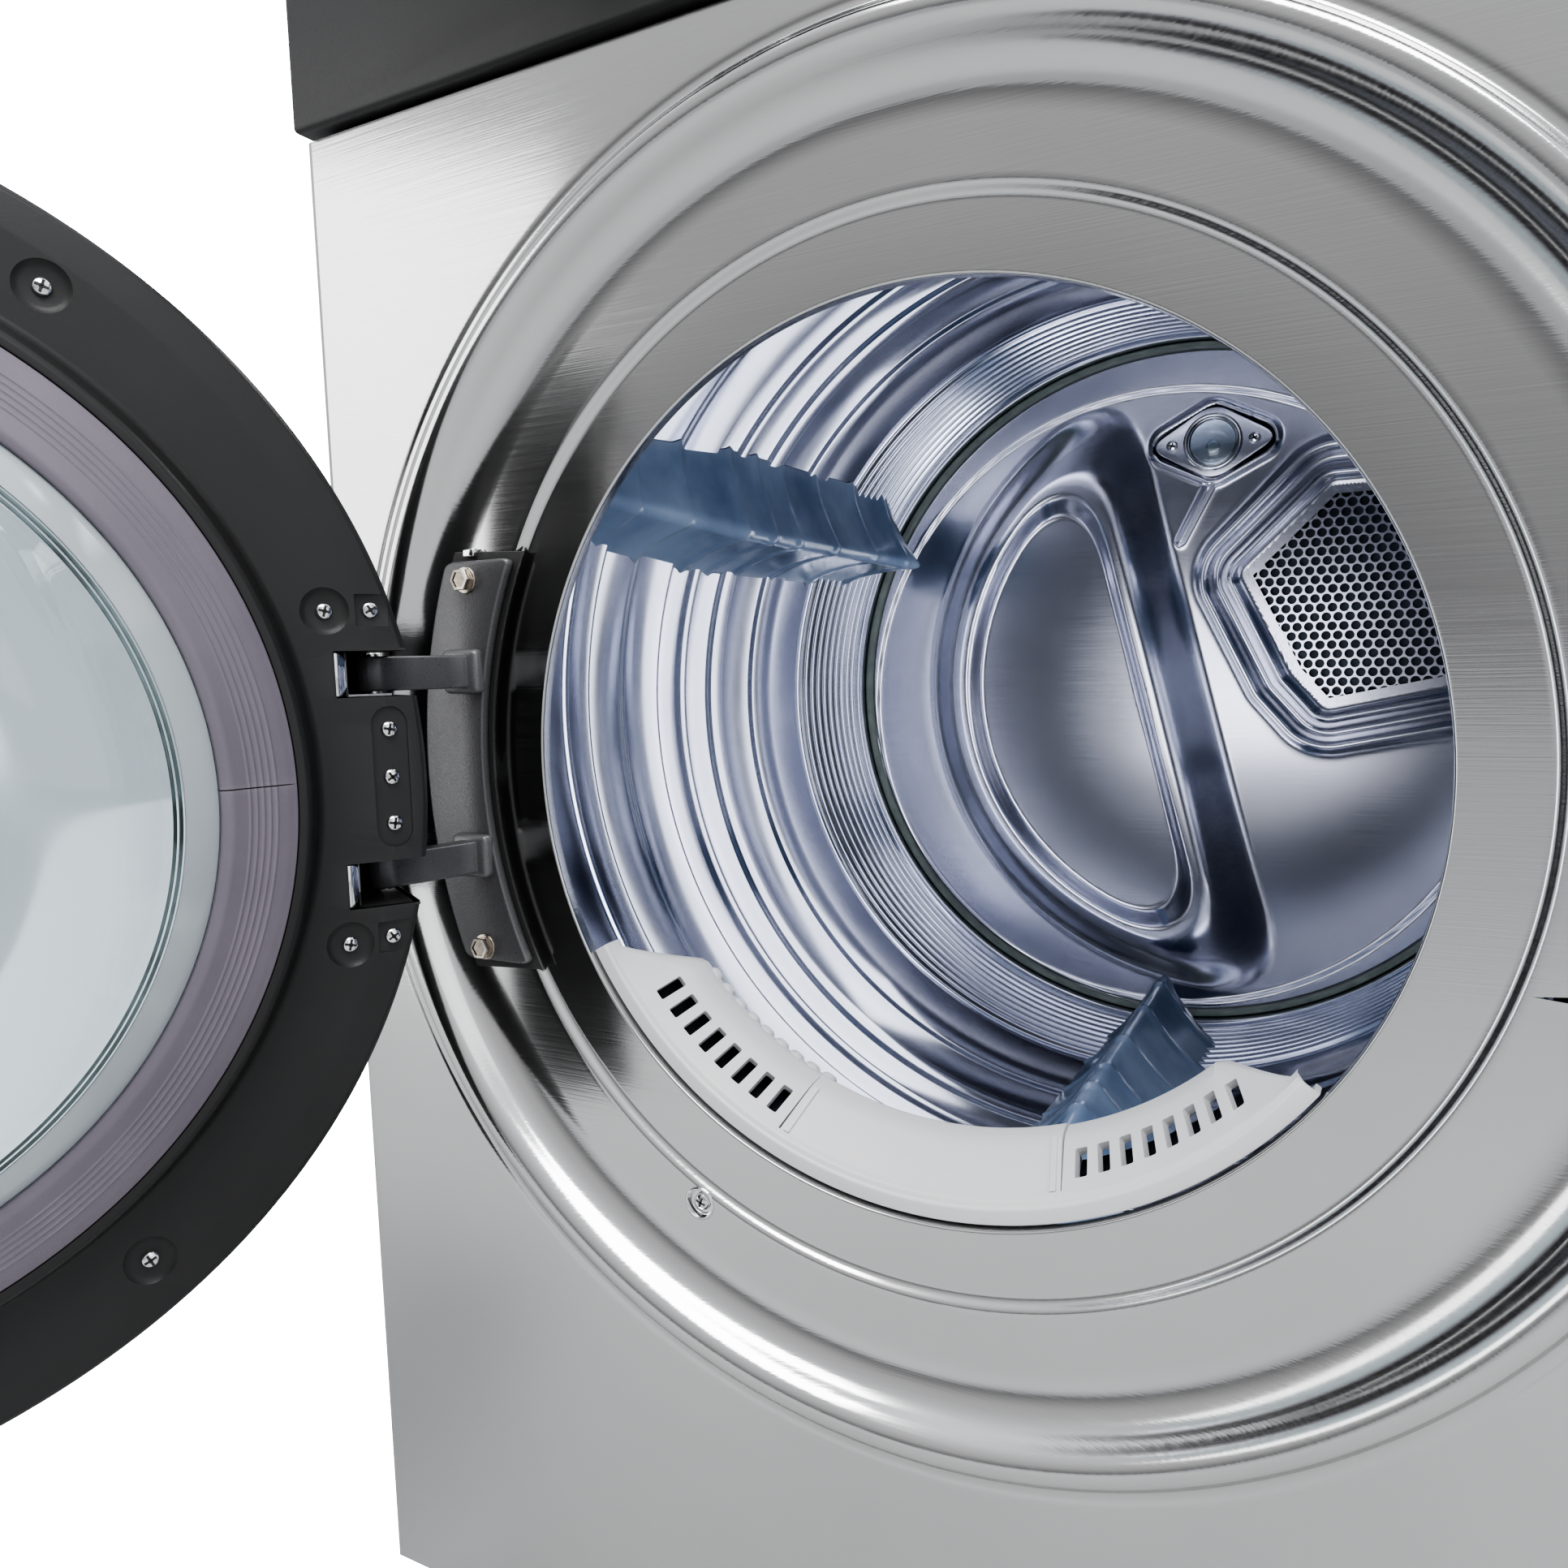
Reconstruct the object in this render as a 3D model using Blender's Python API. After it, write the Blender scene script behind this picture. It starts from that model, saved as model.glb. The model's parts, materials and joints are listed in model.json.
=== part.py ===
"""Front-loading clothes dryer, modelled with its door open.

Metres, +Z up. The front faces -Y and the door is hinged on the left, at -X. Every
sub-part hangs from the empty "dryer", whose own frame has x = 0 on the cabinet's
middle plane, y = 0 on the loading opening's lip and z = 0 on the floor. The empty is
moved so that the world origin lies on the floor under the middle of the whole
appliance, the open door included.
"""

import math

import bmesh
import bpy
from mathutils import Matrix, Vector

# Driving dimensions of the cabinet.
WIDTH = 0.686
HEIGHT = 0.983
DEPTH = 0.700
FRONT_Y = -0.022
PANEL_BACK = -0.004
FLOOR_GAP = 0.020
FASCIA_Z = 0.868
TOP_SIDE = 0.028
SHEET = 0.001
GAP = 0.0003
HALF = WIDTH / 2

# Loading opening, drum and rear wall.
OPENING_Z = 0.525
OPENING_R = 0.2147
DRUM_Z = 0.543
DRUM_R = 0.312
NECK_R = 0.3045
DRUM_SHEET = 0.0011
DRUM_FRONT = 0.062
DRUM_REAR = 0.640
FELT_OUT = 0.3030
FRONT_PLATE_Y = 0.030
REAR_PLATE_Y = 0.650
REAR_DISC_Y = 0.626
REAR_DISC_R = 0.2985
BOSS_DEPTH = 0.036
GRILLE = (
    (0.055, 0.117), (0.129, 0.190), (0.165, 0.190), (0.232, 0.122),
    (0.246, 0.022), (0.127, -0.002), (0.100, 0.030),
)

# Door, in the place it has when it is shut.
HINGE_X = -0.2669
HINGE_Y = -0.0657
OPEN_ANGLE = math.radians(121.2)
DOOR_R = 0.2816
DOOR_BACK = -0.022
DOOR_FRONT = -0.092
ARM_Z = (0.0415, 0.0595)
PIN_R = 0.003

# Drive and air path.
BELT_Y = (0.430, 0.440)
SHAFT_Z = 0.130
SHAFT_R = 0.008
PULLEY_R = 0.012
ROLLER_R = 0.035
ROLLER_X = 0.200
EXHAUST = (0.120, 0.085)
EXHAUST_R = 0.050
COLLAR_Y = 0.7245
BLADES = 12
IDLER_R = 0.018
IDLER_PIVOT = (-0.120, 0.060)

# Where the world origin lies in the dryer's own frame.
ORIGIN = (-0.1115, 0.0839)

# Facets round a full circle: large, medium and small pieces.
FINE, MEDIUM, COARSE = 40, 20, 12

# Name: colour, roughness, metallic.
LOOKS = {
    "brushed_steel": ((0.62, 0.62, 0.61), 0.32, 1.0),
    "drum_steel": ((0.55, 0.58, 0.62), 0.25, 1.0),
    "cabinet_paint": ((0.42, 0.43, 0.44), 0.40, 0.3),
    "galvanized": ((0.50, 0.51, 0.52), 0.45, 0.9),
    "charcoal_plastic": ((0.055, 0.055, 0.058), 0.45, 0.0),
    "dark_gloss": ((0.02, 0.02, 0.022), 0.15, 0.0),
    "white_plastic": ((0.78, 0.78, 0.76), 0.42, 0.0),
    "lifter_plastic": ((0.45, 0.52, 0.60), 0.35, 0.0),
    "gasket_rubber": ((0.20, 0.18, 0.21), 0.70, 0.0),
    "black_rubber": ((0.03, 0.03, 0.03), 0.80, 0.0),
    "felt": ((0.70, 0.73, 0.66), 0.95, 0.0),
    "glass": ((0.75, 0.82, 0.84), 0.05, 0.0),
    "hinge_paint": ((0.25, 0.25, 0.26), 0.42, 0.5),
    "yellow_zinc": ((0.72, 0.55, 0.22), 0.30, 1.0),
    "chrome": ((0.75, 0.75, 0.76), 0.15, 1.0),
}


def clear_scene():
    for obj in list(bpy.data.objects):
        bpy.data.objects.remove(obj, do_unlink=True)


def look(name):
    """The material of this name, made on first use."""
    if name in bpy.data.materials:
        return bpy.data.materials[name]
    colour, roughness, metallic = LOOKS[name]
    mat = bpy.data.materials.new(name)
    mat.use_nodes = True
    shader = mat.node_tree.nodes["Principled BSDF"]
    shader.inputs["Base Color"].default_value = (*colour, 1.0)
    shader.inputs["Roughness"].default_value = roughness
    shader.inputs["Metallic"].default_value = metallic
    return mat


def empty(name, parent=None, at=(0, 0, 0)):
    obj = bpy.data.objects.new(name, None)
    obj.parent = parent
    obj.location = at
    bpy.context.collection.objects.link(obj)
    return obj


def add(name, bm, look_name, parent, at=(0, 0, 0)):
    """Make an object of the bmesh, with smooth round faces and sharp edges."""
    bmesh.ops.recalc_face_normals(bm, faces=bm.faces[:])
    mesh = bpy.data.meshes.new(name)
    bm.to_mesh(mesh)
    bm.free()
    mesh.shade_smooth()
    mesh.set_sharp_from_angle(angle=math.radians(30))
    mesh.materials.append(look(look_name))
    obj = bpy.data.objects.new(name, mesh)
    obj.parent = parent
    obj.location = at
    bpy.context.collection.objects.link(obj)
    return obj


def combine(obj, bm, operation="DIFFERENCE"):
    """Cut the bmesh out of the object, or join it on, with an exact Boolean."""
    name = f"tool_{obj.name}_{len(obj.modifiers)}"
    tool = add(name, bm, "galvanized", obj)
    tool.hide_render = True
    tool.display_type = "WIRE"
    step = obj.modifiers.new(name, "BOOLEAN")
    step.operation = operation
    step.solver = "EXACT"
    step.object = tool


# Outlines: lists of points in a plane.

def arc(radius, start, end, count, centre=(0.0, 0.0)):
    """Points from one angle to another, in degrees, both ends included."""
    turns = [math.radians(start + (end - start) * i / count) for i in range(count + 1)]
    return [(centre[0] + radius * math.cos(t), centre[1] + radius * math.sin(t)) for t in turns]


def circle(radius, count, centre=(0.0, 0.0)):
    return arc(radius, 0, 360, count, centre)[:-1]


def rectangle(half_x, low_z, high_z, count):
    """As many points round a rectangle as a circle has, one of them on each corner."""
    points = []
    for x, z in circle(1.0, count):
        edge_z = high_z if z > 0 else low_z
        reach = min(half_x / max(abs(x), 1e-9), edge_z / z if abs(z) > 1e-9 else 9.0)
        points.append((x * reach, z * reach))
    for corner in ((half_x, high_z), (-half_x, high_z), (-half_x, low_z), (half_x, low_z)):
        turn = math.atan2(corner[1], corner[0]) % math.tau
        points[round(turn / math.tau * count) % count] = corner
    return points


def upright(points, y):
    """Stand a plane outline up in the XZ plane at this y."""
    return [(x, y, z) for x, z in points]


# Solids.

def loft(loops, closed=True):
    """Skin loops of equal length; a closed loft is a ring, an open one has flat ends."""
    bm = bmesh.new()
    rows = [[bm.verts.new(p) for p in loop] for loop in loops]
    pairs = list(zip(rows, rows[1:]))
    if closed:
        pairs.append((rows[-1], rows[0]))
    for one, two in pairs:
        for i in range(len(one)):
            j = (i + 1) % len(one)
            bm.faces.new((one[i], one[j], two[j], two[i]))
    if not closed:
        bm.faces.new(rows[0])
        bm.faces.new(rows[-1])
    return bm


def ring(profile, count=FINE):
    """Turn a closed profile of (radius, y) points about the Y axis."""
    return loft([upright(circle(r, count), y) for r, y in profile])


def rod(profile, count=COARSE):
    """Turn an open profile of (radius, y) points about the Y axis, flat at both ends."""
    return loft([upright(circle(r, count), y) for r, y in profile], closed=False)


def tube(outer, inner, low, high, count=MEDIUM):
    return ring([(outer, low), (outer, high), (inner, high), (inner, low)], count)


def prism(outline, low, high, axis="Y"):
    """Extrude an outline; it lies in XZ for Y, in YZ for X and in XY for Z."""
    place = {
        "X": lambda a, b, h: (h, a, b),
        "Y": lambda a, b, h: (a, h, b),
        "Z": lambda a, b, h: (a, b, h),
    }[axis]
    return loft([[place(a, b, h) for a, b in outline] for h in (low, high)], closed=False)


def block(x, y, z):
    return prism([(x[0], z[0]), (x[1], z[0]), (x[1], z[1]), (x[0], z[1])], y[0], y[1])


def sector(profile, start, end, count):
    """Turn a closed (radius, y) profile part of the way round, with flat ends."""
    loops = []
    for i in range(count + 1):
        turn = math.radians(start + (end - start) * i / count)
        loops.append([(r * math.cos(turn), y, r * math.sin(turn)) for r, y in profile])
    return loft(loops, closed=False)


def shifted(bm, x=0.0, y=0.0, z=0.0):
    bmesh.ops.translate(bm, verts=bm.verts[:], vec=Vector((x, y, z)))
    return bm


def along_z(bm):
    """Turn a piece made about the Y axis so that it stands along Z."""
    bmesh.ops.rotate(bm, verts=bm.verts[:], matrix=Matrix.Rotation(math.pi / 2, 3, "X"))
    return bm


# Cabinet.

def build_base(dryer):
    base = add("base_pan", block((-HALF + 0.0015, HALF - 0.0015), (0.0, 0.6975),
                                 (FLOOR_GAP, 0.033)), "galvanized", dryer)
    combine(base, block((-HALF + 0.003, HALF - 0.003), (0.0015, 0.696),
                        (FLOOR_GAP + 0.0015, 0.040)))
    pivot_x, pivot_z = IDLER_PIVOT
    combine(base, block((pivot_x - 0.012, pivot_x + 0.012), (0.388, 0.400),
                        (FLOOR_GAP + 0.001, pivot_z + 0.012)), "UNION")
    combine(base, block((-0.182, -0.172), (0.406, 0.426), (FLOOR_GAP + 0.001, 0.128)), "UNION")
    combine(base, shifted(rod([(0.0045, 0.380), (0.0045, 0.410)]), pivot_x, 0.0, pivot_z))
    foot = [(0.020, 0.0), (0.022, 0.003), (0.022, 0.009), (0.007, 0.012), (0.007, 0.0197)]
    for side, x in (("left", -0.300), ("right", 0.300)):
        for end, y in (("front", 0.045), ("rear", 0.650)):
            add(f"foot_{end}_{side}", along_z(rod([(r, -h) for r, h in foot], MEDIUM)),
                "black_rubber", dryer, (x, y, 0.0)).rotation_euler = (math.pi, 0, 0)


def build_shell(dryer):
    low, high = FLOOR_GAP, HEIGHT - TOP_SIDE - GAP
    for name, side in (("left_side_panel", -1), ("right_side_panel", 1)):
        outline = [(HALF, PANEL_BACK), (HALF, 0.6985), (HALF - SHEET, 0.6985),
                   (HALF - SHEET, PANEL_BACK + SHEET), (HALF - 0.020, PANEL_BACK + SHEET),
                   (HALF - 0.020, PANEL_BACK)]
        add(name, prism([(side * x, y) for x, y in outline], low, high, "Z"),
            "cabinet_paint", dryer)
    top = add("top_panel", block((-HALF, HALF), (PANEL_BACK, DEPTH), (HEIGHT - TOP_SIDE, HEIGHT)),
              "cabinet_paint", dryer)
    combine(top, block((-HALF + SHEET, HALF - SHEET), (PANEL_BACK + SHEET, DEPTH - SHEET),
                       (HEIGHT - TOP_SIDE - 0.01, HEIGHT - SHEET)))
    rear = add("rear_panel", block((-HALF + 0.0015, HALF - 0.0015), (DEPTH - SHEET, DEPTH),
                                   (FLOOR_GAP + 0.001, high)), "galvanized", dryer)
    combine(rear, shifted(rod([(0.0515, 0.68), (0.0515, 0.72)], MEDIUM), EXHAUST[0], 0, EXHAUST[1]))
    cover = add("terminal_cover", block((-0.260, -0.180), (DEPTH + GAP, 0.722), (0.700, 0.800)),
                "galvanized", dryer)
    combine(cover, shifted(rod([(0.009, 0.708), (0.009, 0.730)]), -0.220, 0, 0.750))


def build_front_panel(dryer):
    """One pressing: lip, recessed annulus, raised outer ring, flat front, short returns."""
    section = [(OPENING_R, 0.006), (OPENING_R, 0.0), (0.2485, 0.0), (0.2505, -0.003),
               (0.285, -0.0045), (0.296, -0.009), (0.304, -0.020), (0.310, -0.0255),
               (0.318, -0.0255), (0.326, FRONT_Y)]
    low, high = 0.030 - OPENING_Z, FASCIA_Z - 0.0005 - OPENING_Z
    front = [upright(circle(r, FINE), y) for r, y in section]
    front += [upright(rectangle(HALF, low, high, FINE), y) for y in (FRONT_Y, PANEL_BACK - GAP)]
    inner = rectangle(HALF - SHEET, low + SHEET, high - SHEET, FINE)
    back = [upright(inner, y) for y in (PANEL_BACK - GAP, FRONT_Y + SHEET)]
    back += [upright(circle(r + 0.0003, FINE), y + SHEET) for r, y in reversed(section[2:])]
    back += [upright(circle(OPENING_R + SHEET, FINE), y) for y in (SHEET, 0.006)]
    panel = add("front_panel", loft(front + back), "brushed_steel", dryer, (0, 0, OPENING_Z))
    combine(panel, block((0.253, 0.272), (-0.03, 0.01), (-0.085, -0.058)))
    latch = add("door_latch", block((0.248, 0.277), (0.0004, 0.0290), (-0.092, -0.051)),
                "dark_gloss", dryer, (0, 0, OPENING_Z))
    combine(latch, block((0.2535, 0.2715), (-0.01, 0.0255), (-0.0845, -0.0585)))


def build_controls(dryer):
    low, high = FASCIA_Z, HEIGHT
    middle = (low + high) / 2
    fascia = add("control_fascia", block((-HALF, HALF), (-0.030, PANEL_BACK - GAP), (low, high)),
                 "charcoal_plastic", dryer)
    combine(fascia, block((-HALF + 0.0025, HALF - 0.0025), (-0.0275, 0.01),
                          (low + 0.0025, high - 0.0025)))
    combine(fascia, block((0.020, 0.140), (-0.04, -0.02), (middle - 0.022, middle + 0.022)))
    combine(fascia, shifted(rod([(0.0058, -0.04), (0.0058, -0.02)]), -0.120, 0, middle))
    add("display_window", block((0.0204, 0.1396), (-0.0298, -0.0278),
                                (middle - 0.0216, middle + 0.0216)), "dark_gloss", dryer)
    knob = [(0.0045, -0.018), (0.0045, -0.0310), (0.0300, -0.0310), (0.0300, -0.0500),
            (0.0280, -0.0540), (0.0100, -0.0545)]
    add("control_knob", rod(knob, MEDIUM), "chrome", dryer, (-0.120, 0, middle))
    for name, x in (("power_button", 0.200), ("start_button", 0.255)):
        combine(fascia, shifted(rod([(0.0124, -0.04), (0.0124, -0.02)], MEDIUM), x, 0, middle))
        cap = [(0.0120, -0.0200), (0.0120, -0.0325), (0.0110, -0.0335)]
        add(name, rod(cap, MEDIUM), "dark_gloss", dryer, (x, 0, middle))


# Bulkheads, felts and what they carry.

def build_front_bulkhead(dryer):
    low, high = 0.060 - OPENING_Z, 0.840 - OPENING_Z
    lift = DRUM_Z - OPENING_Z
    plate, back = FRONT_PLATE_Y, FRONT_PLATE_Y + SHEET
    outer = rectangle(0.335, low, high, FINE)
    hole = circle(0.262, FINE)
    flange = [(0.3000, back), (0.3000, 0.085), (0.2990, 0.085), (0.2990, back)]
    loops = [upright(hole, plate), upright(outer, plate), upright(outer, back)]
    loops += [upright(circle(r, FINE, (0, lift)), y) for r, y in flange]
    loops += [upright(hole, back)]
    bulkhead = add("front_bulkhead", loft(loops), "galvanized", dryer, (0, 0, OPENING_Z))
    combine(bulkhead, shifted(rod([(0.056, 0.0), (0.056, 0.06)], MEDIUM), 0, 0, SHAFT_Z - OPENING_Z))
    add("front_drum_felt", tube(FELT_OUT, 0.3004, 0.064, 0.084, FINE), "felt", dryer, (0, 0, DRUM_Z))


def boss_outline(inset, count):
    """The D of the rear wall's boss: a round left side cut off by a slanted straight one."""
    centre = Vector((-0.070, 0.010))
    hub, reach = Vector((0.050, 0.0237)), 0.2736 - inset
    foot, run = Vector((-0.032, 0.230)), Vector((0.109, -0.433)).normalized()
    outward = Vector((-run.y, run.x))
    if outward.dot(foot - centre) < 0:
        outward = -outward
    points = []
    for x, z in circle(1.0, count):
        ray = Vector((x, z))
        to_hub = centre - hub
        half_b = ray.dot(to_hub)
        round_side = -half_b + math.sqrt(half_b ** 2 - to_hub.length_squared + reach ** 2)
        facing = ray.dot(outward)
        straight = (outward.dot(foot - centre) - inset) / facing if facing > 0.05 else 9.0
        soft = (round_side ** -12 + straight ** -12) ** (-1 / 12)
        points.append(tuple(centre + ray * soft))
    return points


def from_boss(radius, lift, count):
    """A circle whose points lie on the same rays as the boss outline's."""
    centre, hub = Vector((-0.070, 0.010)), Vector((0.0, lift))
    points = []
    for x, z in circle(1.0, count):
        ray, to_hub = Vector((x, z)), centre - hub
        half_b = ray.dot(to_hub)
        reach = -half_b + math.sqrt(half_b ** 2 - to_hub.length_squared + radius ** 2)
        points.append(tuple(centre + ray * reach))
    return points


def build_rear_bulkhead(dryer):
    """Plate with a round rim, a disc ahead of it and a hollow D-shaped boss on the disc."""
    count, lift = FINE, DRUM_Z - OPENING_Z
    low, high = 0.145 - OPENING_Z, 0.940 - OPENING_Z
    disc, top = REAR_DISC_Y, REAR_DISC_Y - BOSS_DEPTH
    section = [(boss_outline(0.053, count), top + 0.012), (boss_outline(0.045, count), top),
               (boss_outline(0.016, count), top), (boss_outline(0.010, count), top + 0.006),
               (boss_outline(0.0, count), disc),
               (from_boss(REAR_DISC_R, lift, count), disc),
               (from_boss(REAR_DISC_R, lift, count), REAR_PLATE_Y),
               (rectangle(0.335, low, high, count), REAR_PLATE_Y)]
    front = [upright(points, y) for points, y in section]
    behind = [(points, y + SHEET) for points, y in section]
    behind[0] = (boss_outline(0.054, count), top + 0.012 + SHEET)
    behind[1] = (boss_outline(0.046, count), top + SHEET)
    behind[2] = (boss_outline(0.017, count), top + SHEET)
    behind[3] = (boss_outline(0.011, count), top + 0.006 + SHEET)
    behind[4] = (boss_outline(0.001, count), disc + SHEET)
    behind[5] = (from_boss(REAR_DISC_R - SHEET, lift, count), disc + SHEET)
    behind[6] = (from_boss(REAR_DISC_R - SHEET, lift, count), REAR_PLATE_Y + SHEET)
    back = [upright(points, y) for points, y in reversed(behind)]
    wall = add("rear_bulkhead", loft(front + back, closed=False), "drum_steel", dryer,
               (0, 0, OPENING_Z))
    combine(wall, prism(GRILLE, 0.60, 0.64))
    centre = [sum(c) / len(GRILLE) for c in zip(*GRILLE)]
    mesh = [(centre[0] + 0.992 * (x - centre[0]), centre[1] + 0.992 * (z - centre[1]))
            for x, z in GRILLE]
    add("air_inlet_grille", prism(mesh, disc, disc + SHEET), "drum_steel", dryer, (0, 0, OPENING_Z))
    lens = [(0.048, 0.0), (0.006, 0.031), (-0.006, 0.031), (-0.048, 0.0),
            (-0.006, -0.031), (0.006, -0.031)]
    add("drum_lamp_lens", prism(lens, disc - 0.012, disc - GAP), "glass", dryer,
        (0.034, 0, OPENING_Z + 0.234))
    inner = (REAR_DISC_R + GAP) / math.cos(math.pi / FINE)
    add("rear_drum_felt", tube(FELT_OUT, inner, 0.616, 0.648, FINE), "felt", dryer,
        (0, 0, DRUM_Z))


def build_heater(dryer):
    duct = add("heater_duct", block((0.045, 0.262), (REAR_PLATE_Y + SHEET + GAP, 0.694),
                                    (OPENING_Z - 0.030, OPENING_Z + 0.200)), "galvanized", dryer)
    combine(duct, block((0.0465, 0.2605), (0.60, 0.6925), (OPENING_Z - 0.0285, OPENING_Z + 0.1985)))
    combine(duct, block((0.070, 0.240), (0.660, 0.688), (OPENING_Z - 0.04, OPENING_Z - 0.02)))
    section = arc(0.004, 0, 360, 8)[:-1]
    add("heating_element", ring([(0.070 + a, 0.672 + b) for a, b in section], MEDIUM),
        "galvanized", dryer, (0.150, 0, OPENING_Z + 0.090))


# Lint filter and the air path out.

def build_lint(dryer):
    at = (0, 0, OPENING_Z)
    shell = [(0.2135, 0.004), (0.2030, 0.004), (0.1830, 0.034), (0.1830, 0.050),
             (0.1860, 0.053), (0.2205, 0.053), (0.2205, 0.0076), (0.2135, 0.0076)]
    cover = add("lint_filter_cover", sector(shell, 208, 324, 24), "white_plastic", dryer, at)
    for start, end in ((212, 245.5), (290.5, 320)):
        hollow = [(0.2100, 0.0100), (0.2050, 0.0100), (0.1870, 0.0370), (0.1870, 0.0480),
                  (0.2300, 0.0480), (0.2300, 0.0100)]
        combine(cover, sector(hollow, start, end, 8))
    seat = [(0.2134, 0.0080), (0.1700, 0.0080), (0.1700, 0.0342), (0.2134, 0.0342)]
    combine(cover, sector(seat, 247, 289, 8))
    combine(cover, block((-0.0668, 0.0608), (0.0092, 0.0268), (-0.230, -0.195)))
    grip = [(0.2128, 0.0088), (0.2025, 0.0088), (0.1835, 0.0335), (0.2128, 0.0335)]
    lint = add("lint_filter", sector(grip, 247.3, 288.7, 8), "white_plastic", dryer, at)
    low, high = 0.110 - OPENING_Z, -0.2045
    combine(lint, block((-0.066, 0.060), (0.0105, 0.0255), (low, high)), "UNION")
    combine(lint, block((-0.060, 0.054), (0.0000, 0.0235), (low + 0.006, high - 0.010)))
    duct = add("lint_duct", block((-0.075, 0.070), (0.0078, FRONT_PLATE_Y - GAP), (0.0565, 0.3000)),
               "galvanized", dryer)
    combine(duct, block((-0.0738, 0.0688), (0.0090, FRONT_PLATE_Y - GAP - 0.0012), (0.058, 0.31)))
    combine(duct, shifted(rod([(0.055, 0.020), (0.055, 0.035)], MEDIUM), 0, 0, SHAFT_Z))


def volute(inset):
    """Blower outline: a drum round the shaft with a box for the outlet at its right."""
    high = 0.1375 - inset
    start = math.degrees(math.asin((high - SHAFT_Z) / (0.094 - inset)))
    points = arc(0.094 - inset, start, 270, 24, (0.0, SHAFT_Z))
    low = SHAFT_Z - 0.094 + inset
    return points + [(0.172 - inset, low), (0.172 - inset, high)]


def build_blower(dryer):
    low = FRONT_PLATE_Y + SHEET + GAP
    housing = add("blower_housing", prism(volute(0.0), low, 0.0965), "galvanized", dryer)
    combine(housing, prism(volute(0.002), low + 0.002, 0.0945))
    combine(housing, shifted(rod([(0.055, 0.02), (0.055, 0.04)], MEDIUM), 0, 0, SHAFT_Z))
    combine(housing, shifted(rod([(0.0115, 0.09), (0.0115, 0.10)]), 0, 0, SHAFT_Z))
    combine(housing, shifted(rod([(0.047, 0.09), (0.047, 0.10)], MEDIUM), EXHAUST[0], 0, EXHAUST[1]))
    add("exhaust_duct", tube(EXHAUST_R, EXHAUST_R - 0.0015, 0.0968, COLLAR_Y), "galvanized", dryer,
        (EXHAUST[0], 0, EXHAUST[1]))
    blades = [(radius * math.cos(t), radius * math.sin(t))
              for i in range(BLADES * 4)
              for radius, t in [(0.085 if i % 4 < 2 else 0.066, math.tau * i / (BLADES * 4))]]
    bore = circle(SHAFT_R + 2 * GAP, BLADES * 4)
    wheel = [upright(blades, 0.048), upright(blades, 0.084), upright(bore, 0.084), upright(bore, 0.048)]
    add("blower_wheel", loft(wheel), "galvanized", dryer, (0, 0, SHAFT_Z))


def build_motor(dryer):
    body = arc(0.065, -50, 230, 24, (0.0, SHAFT_Z))
    body += [(-0.045, FLOOR_GAP + 0.002), (0.045, FLOOR_GAP + 0.002)]
    motor = add("motor", prism(body, 0.130, 0.290), "galvanized", dryer)
    combine(motor, shifted(rod([(0.0092, 0.10), (0.0092, 0.32)]), 0, 0, SHAFT_Z))
    shaft = [(SHAFT_R, 0.046), (SHAFT_R, 0.426), (PULLEY_R + 0.003, 0.426), (PULLEY_R + 0.003, 0.4285),
             (PULLEY_R, 0.4285), (PULLEY_R, 0.4415), (PULLEY_R + 0.003, 0.4415),
             (PULLEY_R + 0.003, 0.444)]
    add("motor_shaft", rod(shaft, MEDIUM), "chrome", dryer, (0, 0, SHAFT_Z))


def belt_line(drum_r, pulley_r):
    """Once round the drum and the motor pulley, on the outer tangents."""
    spread = math.degrees(math.acos((drum_r - pulley_r) / (DRUM_Z - SHAFT_Z)))
    over = arc(drum_r, -90 + spread, 270 - spread, FINE - 8, (0.0, DRUM_Z))
    return over + arc(pulley_r, 270 - spread, 270 + spread, 8, (0.0, SHAFT_Z))


def belt_radii():
    """Inner and outer belt radius on the drum: clear of the drum's facets as it turns."""
    inner = (DRUM_R + DRUM_SHEET) / math.cos(math.pi / FINE) + 0.0006
    return inner, inner + 0.0024


def idler_place():
    """The idler's centre, touching the outside of the belt's left run."""
    drum_r, pulley_r = belt_radii()[1], PULLEY_R + 0.0006 + 0.0024
    spread = math.acos((drum_r - pulley_r) / (DRUM_Z - SHAFT_Z))
    out = Vector((-math.sin(spread), -math.cos(spread)))
    start = Vector((0.0, DRUM_Z)) + drum_r * out
    end = Vector((0.0, SHAFT_Z)) + pulley_r * out
    return start.lerp(end, 0.70) + (IDLER_R + 0.0006) * out


def build_drive(dryer):
    inner_r, outer_r = belt_radii()
    inner = belt_line(inner_r, PULLEY_R + 0.0006)
    outer = belt_line(outer_r, PULLEY_R + 0.0030)
    loops = [upright(inner, BELT_Y[0]), upright(outer, BELT_Y[0]),
             upright(outer, BELT_Y[1]), upright(inner, BELT_Y[1])]
    add("drum_belt", loft(loops), "black_rubber", dryer)
    place = idler_place()
    pulley = [(IDLER_R, 0.4275), (IDLER_R, 0.4425), (0.0046, 0.4425), (0.0046, 0.4275)]
    add("idler_pulley", ring(pulley, MEDIUM), "dark_gloss", dryer, (place.x, 0, place.y))
    pivot = Vector(IDLER_PIVOT)
    run = place - pivot
    turn = math.degrees(math.atan2(run.y, run.x))
    outline = arc(0.009, turn + 90, turn + 270, 8) + arc(0.009, turn - 90, turn + 90, 8, tuple(run))
    arm = add("idler_arm", prism(outline, 0.412, 0.420), "galvanized", dryer, (pivot.x, 0, pivot.y))
    combine(arm, rod([(0.0040, 0.390), (0.0040, 0.415)]), "UNION")
    combine(arm, shifted(rod([(0.0042, 0.416), (0.0042, 0.446)]), run.x, 0, run.y), "UNION")
    build_idler_spring(dryer, pivot, run)


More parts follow.
